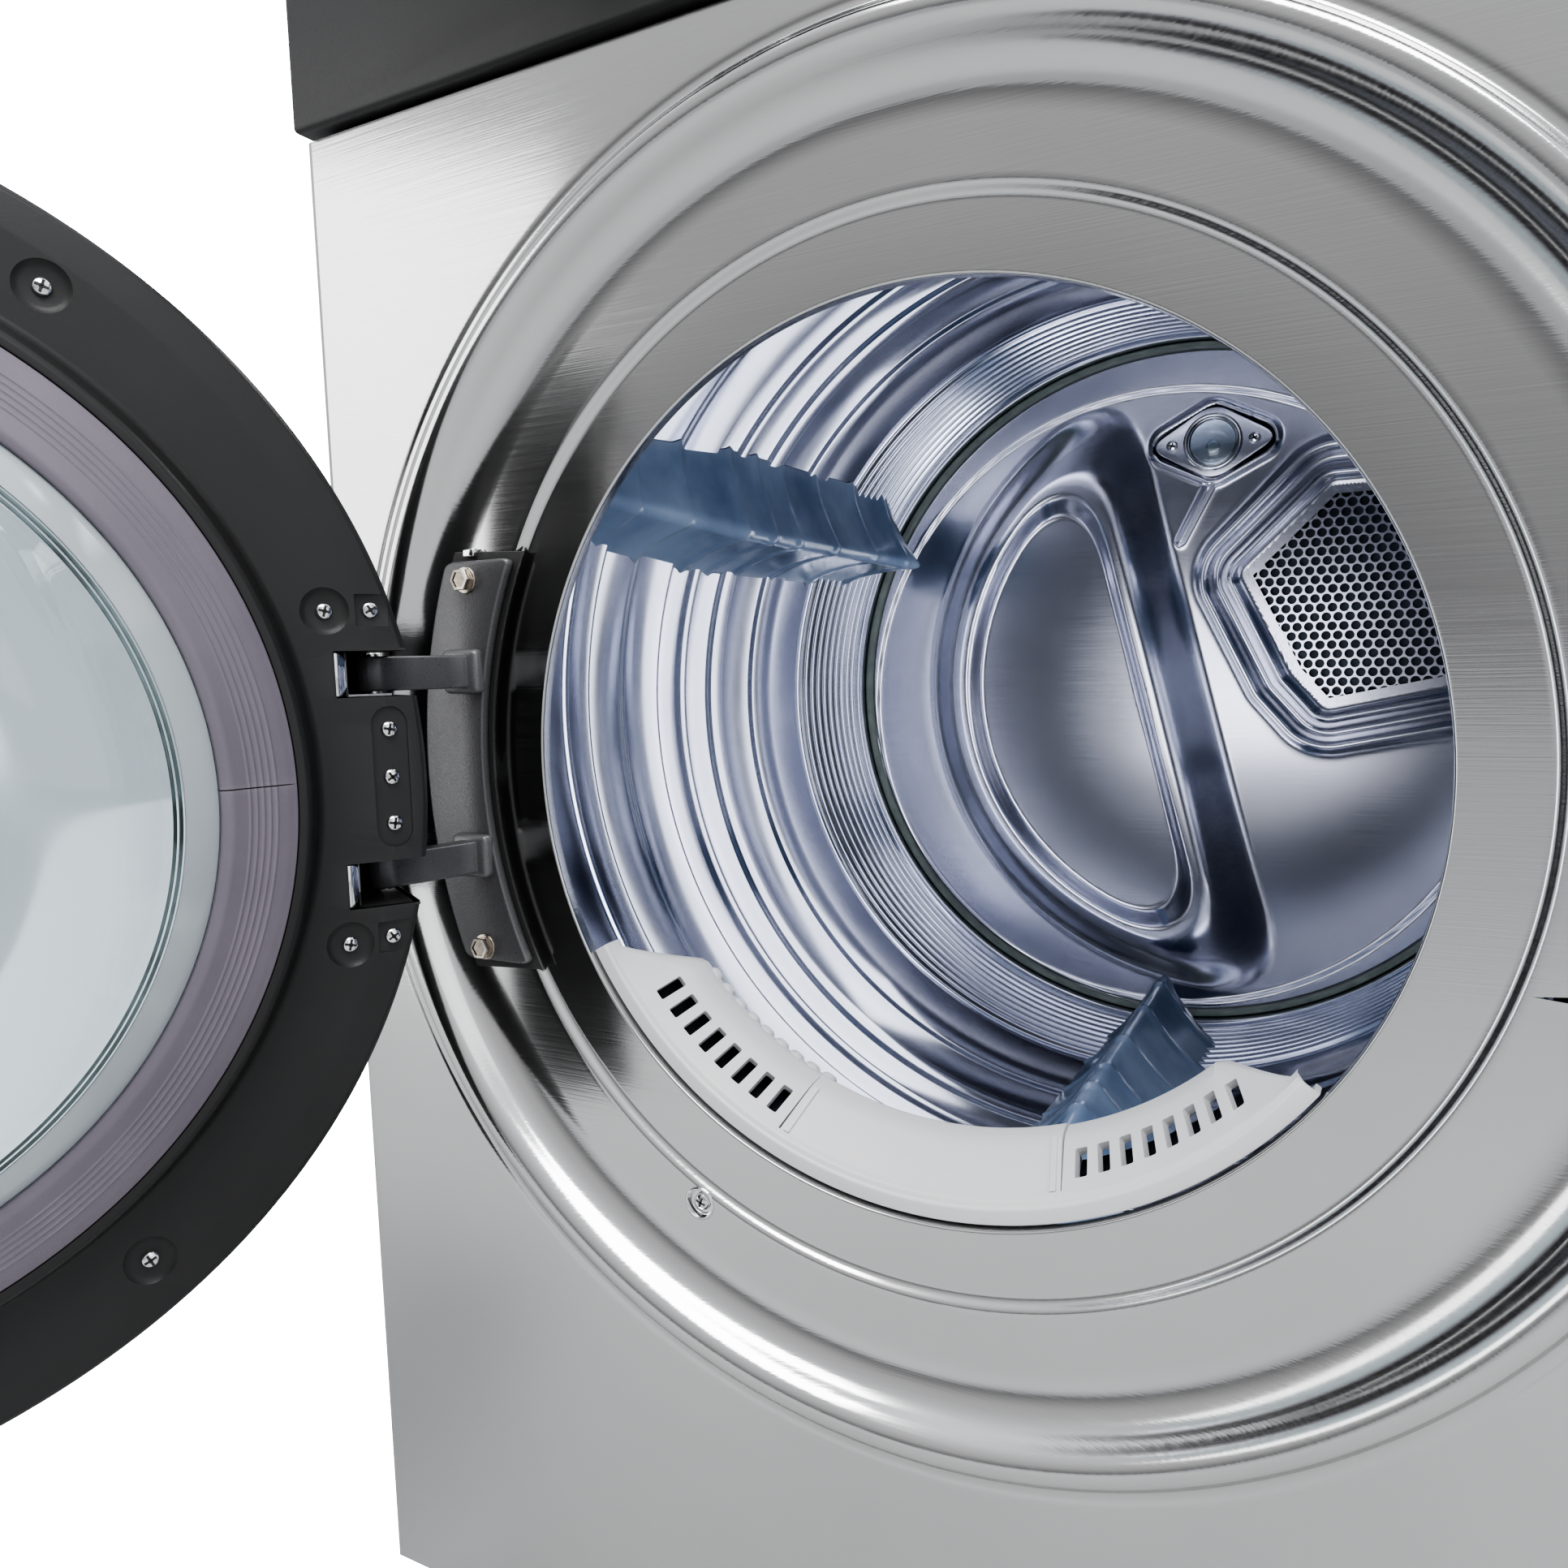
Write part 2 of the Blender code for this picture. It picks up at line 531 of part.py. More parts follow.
def build_idler_spring(dryer, pivot, run):
    """A helix of square wire along X, between the base's post and the arm."""
    height = 0.115
    end = pivot.x + run.x * (height - pivot.y) / run.y - 0.009 / math.cos(math.atan2(run.x, run.y))
    start, turns, steps, wire, coil = -0.1716, 5, 8, 0.0007, 0.0050
    pitch_run = (end - 0.0008) - (start + 0.0016)
    loops = []
    for i in range(turns * steps + 1):
        t = math.tau * i / steps
        x = start + 0.0010 + pitch_run * i / (turns * steps)
        loops.append([(x + a, (coil + b) * math.cos(t), (coil + b) * math.sin(t))
                      for a, b in ((-wire, -wire), (wire, -wire), (wire, wire), (-wire, wire))])
    add("idler_spring", loft(loops, closed=False), "galvanized", dryer, (0, 0.416, height))


def roller_place():
    reach = NECK_R + DRUM_SHEET + ROLLER_R + 0.0005
    return DRUM_Z - math.sqrt(reach ** 2 - ROLLER_X ** 2)


def build_rollers(dryer):
    height = roller_place()
    wheel = [(ROLLER_R, 0.0), (ROLLER_R, 0.020), (0.0066, 0.020), (0.0066, 0.0)]
    rows = (("front", 0.064, (FRONT_PLATE_Y + SHEET + GAP, 0.088)),
            ("rear", 0.612, (0.608, REAR_PLATE_Y - GAP)))
    for row, y, (low, high) in rows:
        for side, x in (("left", -ROLLER_X), ("right", ROLLER_X)):
            add(f"roller_{row}_{side}", ring(wheel, MEDIUM), "black_rubber", dryer, (x, y, height))
            add(f"roller_shaft_{row}_{side}", rod([(0.006, low), (0.006, high)]), "chrome", dryer,
                (x, 0, height))


# Drum.

def build_drum(dryer):
    skin = DRUM_SHEET
    inside = [(NECK_R, DRUM_FRONT), (NECK_R, 0.087), (DRUM_R, 0.093), (DRUM_R, 0.592),
              (NECK_R, 0.602), (NECK_R, DRUM_REAR)]
    outside = [(r + skin, y) for r, y in reversed(inside)]
    add("drum_shell", ring(inside + outside), "drum_steel", dryer, (0, 0, DRUM_Z))
    seat = DRUM_R * math.cos(math.pi / FINE) - GAP
    rows = ((0.097, 0.004, 0.030), (0.105, 0.015, 0.036), (0.266, 0.045, 0.044),
            (0.560, 0.059, 0.050), (0.572, 0.050, 0.050), (0.578, 0.004, 0.046))
    for i, turn in enumerate((151.5, 271.5, 31.5)):
        middle = math.radians(turn)
        loops = [lifter_row(seat, middle, *row) for row in rows]
        add(f"lifter_{i + 1}", loft(loops, closed=False), "lifter_plastic", dryer, (0, 0, DRUM_Z))


def lifter_row(seat, middle, y, height, half_width):
    """One cross-section of a lifter: its base on the drum and a rounded crest inwards."""
    spread = half_width / seat
    base = [(seat, middle + spread * f) for f in (-1.0, -0.5, 0.0, 0.5, 1.0)]
    half_crest = ((0.55, 0.62), (0.92, 0.34), (1.0, 0.12))
    crest = [(seat - height * h, middle + spread * f) for h, f in half_crest]
    crest += [(seat - height * h, middle - spread * f) for h, f in reversed(half_crest)]
    return [(r * math.cos(t), y, r * math.sin(t)) for r, t in base + crest]


# Door and hinge.

def build_hinge_bracket(dryer):
    at = (0, 0, OPENING_Z)
    outline = arc(0.288, 156.9, 203.1, 10) + arc(0.2465, 207.3, 152.7, 10)
    bracket = add("hinge_bracket", prism(outline, -0.0125, -0.0066), "hinge_paint", dryer, at)
    arm = [(-0.2475, -0.0095)]
    arm += [(HINGE_X + x, HINGE_Y + y) for x, y in arc(0.0085, 10, -190, 12)]
    arm += [(-0.2655, -0.0095)]
    for low, high in (ARM_Z, (-ARM_Z[1], -ARM_Z[0])):
        combine(bracket, prism(arm, low, high, "Z"), "UNION")
    eye = shifted(along_z(rod([(PIN_R + GAP, -0.07), (PIN_R + GAP, 0.07)])), HINGE_X, HINGE_Y)
    combine(bracket, eye)
    for name, z in (("upper", 0.0995), ("lower", -0.102)):
        combine(bracket, shifted(rod([(0.0043, -0.02), (0.0043, 0.0)]), -0.2516, 0, z))
        hexagon = arc(0.0078, 0, 360, 6)[:-1]
        bolt = add(f"hinge_bolt_{name}", prism(hexagon, -0.0185, -0.0128), "yellow_zinc", dryer,
                   (-0.2516, 0, OPENING_Z + z))
        combine(bolt, rod([(0.0040, -0.0150), (0.0040, -0.0070)]), "UNION")


def arm_slots(low_y, high_y):
    """Cutters for the two slots that the hinge arms pass through."""
    margin = 0.002
    for low, high in (ARM_Z, (-ARM_Z[1], -ARM_Z[0])):
        yield block((-0.300, -0.240), (low_y, high_y), (low - margin, high + margin))


def build_door(dryer):
    hinge = empty("door_hinge", dryer, (HINGE_X, HINGE_Y, OPENING_Z))
    hinge.rotation_euler = (0, 0, -OPEN_ANGLE)
    at = (-HINGE_X, -HINGE_Y, 0)
    wall = 0.0025
    cover = [(DOOR_R, -0.0386), (DOOR_R, -0.0245), (DOOR_R - 0.0026, DOOR_BACK), (0.2360, DOOR_BACK),
             (0.2290, -0.0170), (0.2245, -0.0026), (0.2190, -0.0026), (0.2190, -0.0150),
             (0.2190, DOOR_BACK - wall), (DOOR_R - wall, DOOR_BACK - wall), (DOOR_R - wall, -0.0386)]
    inner = add("door_inner_cover", ring(cover), "charcoal_plastic", hinge, at)
    for slot in arm_slots(-0.045, -0.010):
        combine(inner, slot)
    frame = [(DOOR_R, -0.0389), (DOOR_R, -0.074), (0.2720, DOOR_FRONT + 0.003), (0.2640, DOOR_FRONT),
             (0.2000, DOOR_FRONT), (0.1860, DOOR_FRONT + 0.006), (0.1860, DOOR_FRONT + 0.012),
             (0.2000, DOOR_FRONT + 0.012), (0.2020, DOOR_FRONT + 0.003),
             (0.2620, DOOR_FRONT + 0.003), (0.2700, DOOR_FRONT + 0.006), (DOOR_R - 0.003, -0.074),
             (DOOR_R - 0.003, -0.0389)]
    outer = add("door_outer_ring", ring(frame), "charcoal_plastic", hinge, at)
    for slot in arm_slots(-0.0865, -0.030):
        combine(outer, slot)
    gasket = [(0.2186, -0.0080), (0.2186, -0.0040), (0.2140, -0.0010), (0.2050, 0.0016),
              (0.1990, 0.0060), (0.1900, 0.0080), (0.1862, 0.0060), (0.1862, -0.0080)]
    add("door_gasket", ring(gasket), "gasket_rubber", hinge, at)
    bowl = [(0.050, 0.0440), (0.1000, 0.0420), (0.1500, 0.0350), (0.1720, 0.0156), (0.1800, 0.0080),
            (0.1856, -0.0060), (0.1800, -0.0060), (0.1740, 0.0060), (0.1665, 0.0125),
            (0.1470, 0.0300), (0.1000, 0.0370), (0.050, 0.0390)]
    add("door_glass_bowl", rod(bowl, FINE), "glass", hinge, at)
    pane = [(0.1995, DOOR_FRONT + 0.0125), (0.1995, DOOR_FRONT + 0.0165)]
    add("door_outer_window", rod(pane, FINE), "glass", hinge, at)
    strike = [(0.2590, DOOR_BACK + GAP), (0.2720, DOOR_BACK + GAP), (0.2650, -0.012), (0.2650, 0.004),
              (0.2615, 0.007), (0.2590, 0.004)]
    add("door_strike", prism(strike, -0.080, -0.063, "Z"), "chrome", hinge, at)
    half, ear, reach = 0.075, (0.0375, 0.0405), HINGE_X - 0.0066
    side = [(-0.2360, half), (-0.2385, half), (-0.2385, ear[1]), (reach, ear[1]), (reach, ear[0]),
            (-0.2385, ear[0])]
    carrier_line = side + [(x, -z) for x, z in reversed(side)]
    carrier = add("hinge_carrier", prism(carrier_line, -0.0735, -0.0580), "galvanized", hinge, at)
    combine(carrier, shifted(along_z(rod([(PIN_R + GAP, -0.07), (PIN_R + GAP, 0.07)])),
                             HINGE_X, HINGE_Y))
    add("hinge_pin", along_z(rod([(PIN_R, -0.0605), (PIN_R, 0.0605)])), "chrome", hinge)


def main():
    clear_scene()
    dryer = empty("dryer", at=(-ORIGIN[0], -ORIGIN[1], 0.0))
    build_base(dryer)
    build_shell(dryer)
    build_front_panel(dryer)
    build_controls(dryer)
    build_front_bulkhead(dryer)
    build_rear_bulkhead(dryer)
    build_heater(dryer)
    build_lint(dryer)
    build_blower(dryer)
    build_motor(dryer)
    build_drive(dryer)
    build_rollers(dryer)
    build_drum(dryer)
    build_hinge_bracket(dryer)
    build_door(dryer)


main()
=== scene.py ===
"""Looks of a front-loading clothes dryer with its round door open.

Each sub-assembly is a class that builds its own meshes. Lengths are in metres. Shapes
are drawn in the dryer's own frame: x = 0 on the middle plane, y = 0 on the loading
opening's lip, and z measured from the opening's or the drum's axis. A Place then sets
them where the frame's parts are.
"""

import json
import logging
import math
from dataclasses import dataclass, field
from enum import Enum
from typing import Iterable, Optional, Sequence

import bmesh
import bpy
from bmesh.types import BMEdge, BMesh
from mathutils import Matrix, Vector


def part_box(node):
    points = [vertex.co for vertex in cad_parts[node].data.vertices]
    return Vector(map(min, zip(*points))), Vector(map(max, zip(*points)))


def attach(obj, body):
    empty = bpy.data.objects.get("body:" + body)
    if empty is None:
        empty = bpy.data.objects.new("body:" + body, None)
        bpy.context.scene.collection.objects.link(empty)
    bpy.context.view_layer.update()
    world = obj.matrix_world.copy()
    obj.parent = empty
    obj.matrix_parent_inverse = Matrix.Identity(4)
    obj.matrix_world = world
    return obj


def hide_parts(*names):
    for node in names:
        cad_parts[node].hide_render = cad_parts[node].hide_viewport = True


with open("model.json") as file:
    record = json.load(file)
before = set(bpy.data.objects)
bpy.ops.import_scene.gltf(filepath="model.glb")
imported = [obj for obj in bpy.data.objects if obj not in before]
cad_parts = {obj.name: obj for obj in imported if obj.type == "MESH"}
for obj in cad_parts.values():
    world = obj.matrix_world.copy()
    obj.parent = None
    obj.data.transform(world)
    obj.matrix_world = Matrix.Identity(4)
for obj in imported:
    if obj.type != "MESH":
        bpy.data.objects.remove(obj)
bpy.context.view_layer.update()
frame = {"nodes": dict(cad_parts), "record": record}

log = logging.getLogger("dryer")

Point = tuple[float, float]
Corner = tuple[float, float, float]

HALF_WIDTH = 0.343
HEIGHT = 0.983
OPENING_Z = 0.525
DRUM_Z = 0.543
AXIS_LIFT = DRUM_Z - OPENING_Z
HINGE = Vector((-0.2669, -0.0657, 0.0))
OPEN_ANGLE = math.radians(121.2)
ARM_HEIGHTS = (0.0505, -0.0505)


class Body(Enum):
    """The moving bodies that a piece can ride on."""

    CABINET = "cabinet"
    DRUM = "drum"
    DOOR = "door"
    FILTER = "filter"
    KNOB = "knob"
    POWER = "power"
    START = "start"


class Grain(Enum):
    """Stretch of a finish's fine grain along x, y and z."""

    ALONG_X = (16.0, 260.0, 1300.0)
    EVEN = (900.0, 900.0, 900.0)
    COARSE = (260.0, 260.0, 260.0)
    SMOOTH = (14.0, 14.0, 14.0)


# ---------------------------------------------------------------- finishes

class NodeGroups:
    """Shader node groups that several finishes share."""

    @staticmethod
    def _start(name: str, inputs: Sequence[tuple[str, str, object]],
               outputs: Sequence[tuple[str, str]]) -> tuple:
        """Open a new group with its sockets.

        Args:
            name: the group's name.
            inputs: (name, socket type, default) of each input.
            outputs: (name, socket type) of each output.

        Returns:
            The group, its input node and its output node.
        """
        group = bpy.data.node_groups.new(name, "ShaderNodeTree")
        for label, kind, default in inputs:
            socket = group.interface.new_socket(label, in_out="INPUT", socket_type=kind)
            if default is not None:
                socket.default_value = default
        for label, kind in outputs:
            group.interface.new_socket(label, in_out="OUTPUT", socket_type=kind)
        return group, group.nodes.new("NodeGroupInput"), group.nodes.new("NodeGroupOutput")

    @classmethod
    def grain(cls) -> bpy.types.NodeTree:
        """Fine grain of a worked surface, as a roughness and as a height.

        Returns:
            The node group.
        """
        if "fine_grain" in bpy.data.node_groups:
            return bpy.data.node_groups["fine_grain"]
        group, enter, leave = cls._start(
            "fine_grain",
            [("Vector", "NodeSocketVector", None), ("Detail", "NodeSocketFloat", 3.0),
             ("Low", "NodeSocketFloat", 0.2), ("High", "NodeSocketFloat", 0.4)],
            [("Roughness", "NodeSocketFloat"), ("Height", "NodeSocketFloat")])
        noise = group.nodes.new("ShaderNodeTexNoise")
        noise.inputs["Scale"].default_value = 1.0
        reach = group.nodes.new("ShaderNodeMapRange")
        reach.inputs["From Min"].default_value = 0.30
        reach.inputs["From Max"].default_value = 0.70
        link = group.links.new
        link(enter.outputs["Vector"], noise.inputs["Vector"])
        link(enter.outputs["Detail"], noise.inputs["Detail"])
        link(noise.outputs["Fac"], reach.inputs["Value"])
        link(enter.outputs["Low"], reach.inputs["To Min"])
        link(enter.outputs["High"], reach.inputs["To Max"])
        link(reach.outputs["Result"], leave.inputs["Roughness"])
        link(noise.outputs["Fac"], leave.inputs["Height"])
        return group

    @classmethod
    def mottle(cls) -> bpy.types.NodeTree:
        """Slow drift between two colours, as uneven gloss, haze and handling leave it.

        Returns:
            The node group.
        """
        if "colour_mottle" in bpy.data.node_groups:
            return bpy.data.node_groups["colour_mottle"]
        group, enter, leave = cls._start(
            "colour_mottle",
            [("Vector", "NodeSocketVector", None), ("Scale", "NodeSocketFloat", 6.0),
             ("First", "NodeSocketColor", (0.5, 0.5, 0.5, 1.0)),
             ("Second", "NodeSocketColor", (0.4, 0.4, 0.4, 1.0))],
            [("Colour", "NodeSocketColor")])
        noise = group.nodes.new("ShaderNodeTexNoise")
        noise.inputs["Detail"].default_value = 4.0
        ramp = group.nodes.new("ShaderNodeValToRGB")
        ramp.color_ramp.elements[0].position = 0.35
        ramp.color_ramp.elements[1].position = 0.68
        mix = group.nodes.new("ShaderNodeMix")
        mix.data_type = "RGBA"
        link = group.links.new
        link(enter.outputs["Vector"], noise.inputs["Vector"])
        link(enter.outputs["Scale"], noise.inputs["Scale"])
        link(noise.outputs["Fac"], ramp.inputs["Fac"])
        link(ramp.outputs["Color"], mix.inputs["Factor"])
        link(enter.outputs["First"], mix.inputs["A"])
        link(enter.outputs["Second"], mix.inputs["B"])
        link(mix.outputs["Result"], leave.inputs["Colour"])
        return group

    @classmethod
    def edge_scuff_and_highlight(cls) -> bpy.types.NodeTree:
        """Blend towards a lighter colour where the surface turns over an edge: edges scuffed bright, and
        a painted highlight along them.

        Returns:
            The node group.
        """
        if "edge_scuff_and_highlight" in bpy.data.node_groups:
            return bpy.data.node_groups["edge_scuff_and_highlight"]
        group, enter, leave = cls._start(
            "edge_scuff_and_highlight",
            [("Colour", "NodeSocketColor", (0.5, 0.5, 0.5, 1.0)),
             ("Scuffed_and_lit", "NodeSocketColor", (0.8, 0.8, 0.8, 1.0)),
             ("Amount", "NodeSocketFloat", 0.3)],
            [("Colour", "NodeSocketColor")])
        geometry = group.nodes.new("ShaderNodeNewGeometry")
        reach = group.nodes.new("ShaderNodeMapRange")
        reach.inputs["From Min"].default_value = 0.51
        reach.inputs["From Max"].default_value = 0.58
        share = group.nodes.new("ShaderNodeMath")
        share.operation = "MULTIPLY"
        mix = group.nodes.new("ShaderNodeMix")
        mix.data_type = "RGBA"
        link = group.links.new
        link(geometry.outputs["Pointiness"], reach.inputs["Value"])
        link(reach.outputs["Result"], share.inputs[0])
        link(enter.outputs["Amount"], share.inputs[1])
        link(share.outputs["Value"], mix.inputs["Factor"])
        link(enter.outputs["Colour"], mix.inputs["A"])
        link(enter.outputs["Scuffed_and_lit"], mix.inputs["B"])
        link(mix.outputs["Result"], leave.inputs["Colour"])
        return group


@dataclass(frozen=True)
class Finish:
    """One finish: its colours, gloss, grain and depth.

    Attributes:
        name: the material's name.
        slot: the record's material slot that it belongs to; not used.
        colour: the main colour.
        second: the colour that it drifts to.
        gloss: lowest and highest roughness over the grain.
        metallic: 1 for bare metal.
        grain: how the fine grain is stretched.
        relief: the depth of the grain in the surface's normal.
        drift: how many patches of the second colour there are to a metre.
        scuff_and_highlight: how much edges lighten, as scuffing and as a painted highlight.
        coat: weight of a clear coat.
        sheen: weight of soft fibre sheen.
        anisotropy: stretch of the highlight.
        through: how much light passes.
        index: the index of refraction.
        glow: the colour that it gives off, None for no light of its own.
    """

    name: str
    slot: str
    colour: Corner
    second: Corner
    gloss: Point
    metallic: float = 0.0
    grain: Grain = Grain.EVEN
    relief: float = 0.05
    drift: float = 6.0
    # edge lightening: partly scuffing, partly a painted highlight along edges
    scuff_and_highlight: float = 0.0
    coat: float = 0.0
    sheen: float = 0.0
    anisotropy: float = 0.0
    through: float = 0.0
    index: float = 1.5
    glow: Optional[Corner] = None

    def material(self) -> bpy.types.Material:
        """The Blender material, made on first use.

        Returns:
            The material.
        """
        if self.name in bpy.data.materials:
            return bpy.data.materials[self.name]
        made = bpy.data.materials.new(self.name)
        made.use_nodes = True
        nodes, link = made.node_tree.nodes, made.node_tree.links.new
        shader = nodes["Principled BSDF"]
        coords = nodes.new("ShaderNodeTexCoord").outputs["Object"]
        mapping = nodes.new("ShaderNodeMapping")
        mapping.inputs["Scale"].default_value = self.grain.value
        grain = nodes.new("ShaderNodeGroup")
        grain.node_tree = NodeGroups.grain()
        grain.inputs["Low"].default_value = self.gloss[0]
        grain.inputs["High"].default_value = self.gloss[1]
        mottle = nodes.new("ShaderNodeGroup")
        mottle.node_tree = NodeGroups.mottle()
        mottle.inputs["Scale"].default_value = self.drift
        mottle.inputs["First"].default_value = (*self.colour, 1.0)
        mottle.inputs["Second"].default_value = (*self.second, 1.0)
        # lighter edges: scuffing, and a painted highlight along them
        scuff_and_highlight = nodes.new("ShaderNodeGroup")
        scuff_and_highlight.node_tree = NodeGroups.edge_scuff_and_highlight()
        scuff_and_highlight.inputs["Amount"].default_value = self.scuff_and_highlight
        scuff_and_highlight.inputs["Scuffed_and_lit"].default_value = (*[0.35 + 0.6 * c for c in self.colour], 1.0)
        bump = nodes.new("ShaderNodeBump")
        bump.inputs["Strength"].default_value = min(1.0, self.relief * 4)
        bump.inputs["Distance"].default_value = 0.0004
        link(coords, mapping.inputs["Vector"])
        link(mapping.outputs["Vector"], grain.inputs["Vector"])
        link(coords, mottle.inputs["Vector"])
        link(mottle.outputs["Colour"], scuff_and_highlight.inputs["Colour"])
        link(scuff_and_highlight.outputs["Colour"], shader.inputs["Base Color"])
        link(grain.outputs["Roughness"], shader.inputs["Roughness"])
        if self.relief > 0:
            link(grain.outputs["Height"], bump.inputs["Height"])
            link(bump.outputs["Normal"], shader.inputs["Normal"])
        self._constants(shader)
        return made

    def _constants(self, shader: bpy.types.Node) -> None:
        """Set what is the same all over the surface on the shader's own sockets.

        Args:
            shader: the surface shader to set.
        """
        shader.inputs["Metallic"].default_value = self.metallic
        shader.inputs["Coat Weight"].default_value = self.coat
        shader.inputs["Coat Roughness"].default_value = 0.12
        shader.inputs["Sheen Weight"].default_value = self.sheen
        shader.inputs["Sheen Roughness"].default_value = 0.5
        shader.inputs["Anisotropic"].default_value = self.anisotropy
        shader.inputs["Transmission Weight"].default_value = self.through
        shader.inputs["IOR"].default_value = self.index
        if self.glow is not None:
            shader.inputs["Emission Color"].default_value = (*self.glow, 1.0)
            shader.inputs["Emission Strength"].default_value = 1.0


BRUSHED = Finish("brushed_front_steel", "brushed_steel", (0.62, 0.62, 0.615), (0.56, 0.56, 0.555),
                 (0.10, 0.17), 1.0, Grain.ALONG_X, 0.018, 3.0, 0.1)
DRUM_METAL = Finish("drum_sheet_steel", "drum_steel", (0.66, 0.675, 0.735), (0.57, 0.585, 0.66),
                    (0.10, 0.16), 1.0, Grain.SMOOTH, 0.0, 4.0, 0.0)
WALL_METAL = Finish("rear_wall_steel", "drum_steel", (0.70, 0.70, 0.76), (0.60, 0.605, 0.68),
                    (0.17, 0.23), 1.0, Grain.ALONG_X, 0.006, 5.0, 0.0)
GALVANIZED = Finish("galvanized_sheet", "galvanized", (0.52, 0.53, 0.54), (0.42, 0.43, 0.45),
                    (0.32, 0.5), 0.9, Grain.COARSE, 0.06, 30.0, 0.2)
CABINET_PAINT = Finish("graphite_paint", "cabinet_paint", (0.17, 0.175, 0.18), (0.15, 0.155, 0.16),
                       (0.30, 0.40), 0.25, Grain.EVEN, 0.05, 5.0, 0.15, coat=0.3)
CHARCOAL = Finish("charcoal_shell", "charcoal_plastic", (0.036, 0.036, 0.036),
                  (0.030, 0.030, 0.030), (0.36, 0.46), 0.0, Grain.EVEN, 0.03, 8.0, 0.04, index=1.45)
GLOSS_BLACK = Finish("gloss_black", "dark_gloss", (0.010, 0.010, 0.011), (0.014, 0.014, 0.015),
                     (0.06, 0.12), 0.0, Grain.SMOOTH, 0.0, 6.0, coat=0.5)
WHITE = Finish("white_cover_plastic", "white_plastic", (0.74, 0.74, 0.745), (0.69, 0.69, 0.70),
               (0.30, 0.40), 0.0, Grain.EVEN, 0.03, 10.0, 0.10)
LIFTER = Finish("blue_lifter_plastic", "lifter_plastic", (0.46, 0.58, 0.78), (0.24, 0.34, 0.53),
                (0.10, 0.20), 0.0, Grain.SMOOTH, 0.0, 15.0, 0.30, coat=0.5, through=0.15,
                index=1.42)
GASKET = Finish("door_seal_rubber", "gasket_rubber", (0.215, 0.193, 0.225), (0.185, 0.167, 0.198),
                (0.52, 0.66), 0.0, Grain.EVEN, 0.05, 14.0, 0.12)
BLACK_RUBBER = Finish("soft_black_rubber", "black_rubber", (0.016, 0.016, 0.016),
                      (0.022, 0.022, 0.022), (0.6, 0.75), 0.0, Grain.COARSE, 0.1, 10.0, 0.2)
FELT = Finish("needle_felt", "felt", (0.42, 0.48, 0.42), (0.30, 0.35, 0.31),
              (0.85, 0.98), 0.0, Grain.EVEN, 0.25, 60.0, sheen=0.6)
GLASS = Finish("door_glass", "glass", (0.90, 0.95, 0.97), (0.87, 0.93, 0.95), (0.02, 0.05),
               0.0, Grain.SMOOTH, 0.0, 3.0, through=1.0, index=1.45)
# dark green-grey rings on the bowl: painted refraction, standing for how light bends at the glass's step
REFRACTION_LINE = Finish("painted_refraction_line", "glass", (0.012, 0.030, 0.032), (0.20, 0.27, 0.28), (0.05, 0.10),
                    0.0, Grain.SMOOTH, 0.0, 30.0, coat=1.0)
# opaque pale band on the bowl's thick rim: painted light, standing for how bright the glass looks there
PALE_BAND = Finish("painted_rim_light", "glass", (0.50, 0.54, 0.56), (0.44, 0.48, 0.50), (0.10, 0.20),
                   0.0, Grain.SMOOTH, 0.0, 6.0, coat=0.6)
# hinge bracket: its strong edge lightening is a painted highlight along its rounded edges
BRACKET = Finish("bracket_paint", "hinge_paint", (0.105, 0.105, 0.108), (0.085, 0.085, 0.088),
                 (0.26, 0.36), 0.30, Grain.EVEN, 0.06, 12.0, 0.45)
YELLOW_ZINC = Finish("tawny_zinc", "yellow_zinc", (0.44, 0.385, 0.32), (0.36, 0.33, 0.29),
                     (0.18, 0.32), 1.0, Grain.COARSE, 0.05, 60.0, 0.4)
CHROME = Finish("bright_plate", "chrome", (0.80, 0.80, 0.80), (0.72, 0.72, 0.73),
                (0.07, 0.16), 1.0, Grain.COARSE, 0.01, 40.0, 0.2)
# near-black sheet: painted shade inside the lint duct, seen through the cover's slots
DUCT_SHADE = Finish("shadowed_sheet", "galvanized", (0.012, 0.014, 0.020), (0.03, 0.034, 0.045),
                   (0.5, 0.6), 0.0, Grain.COARSE, 0.05, 30.0)
# dark blue-grey sheet behind the holes: painted shade of the duct seen through them
GRILLE_BACK = Finish("painted_shade_behind_grille", "galvanized", (0.055, 0.072, 0.105),
                     (0.020, 0.028, 0.045), (0.3, 0.4), 0.2, Grain.COARSE, 0.05, 45.0)
DISPLAY_MARK = Finish("display_segments", "dark_gloss", (0.5, 0.6, 0.65), (0.5, 0.6, 0.65),
                      (0.3, 0.4), 0.0, Grain.SMOOTH, 0.0, glow=(0.55, 0.75, 0.85))

CAD_FINISHES = {
    "galvanized": GALVANIZED, "cabinet_paint": CABINET_PAINT, "brushed_steel": BRUSHED,
    "drum_steel": DRUM_METAL, "charcoal_plastic": CHARCOAL, "dark_gloss": GLOSS_BLACK,
    "white_plastic": WHITE, "lifter_plastic": LIFTER, "gasket_rubber": GASKET,
    "black_rubber": BLACK_RUBBER, "felt": FELT, "glass": GLASS, "hinge_paint": BRACKET,
    "yellow_zinc": YELLOW_ZINC, "chrome": CHROME,
}


# ---------------------------------------------------------------- places

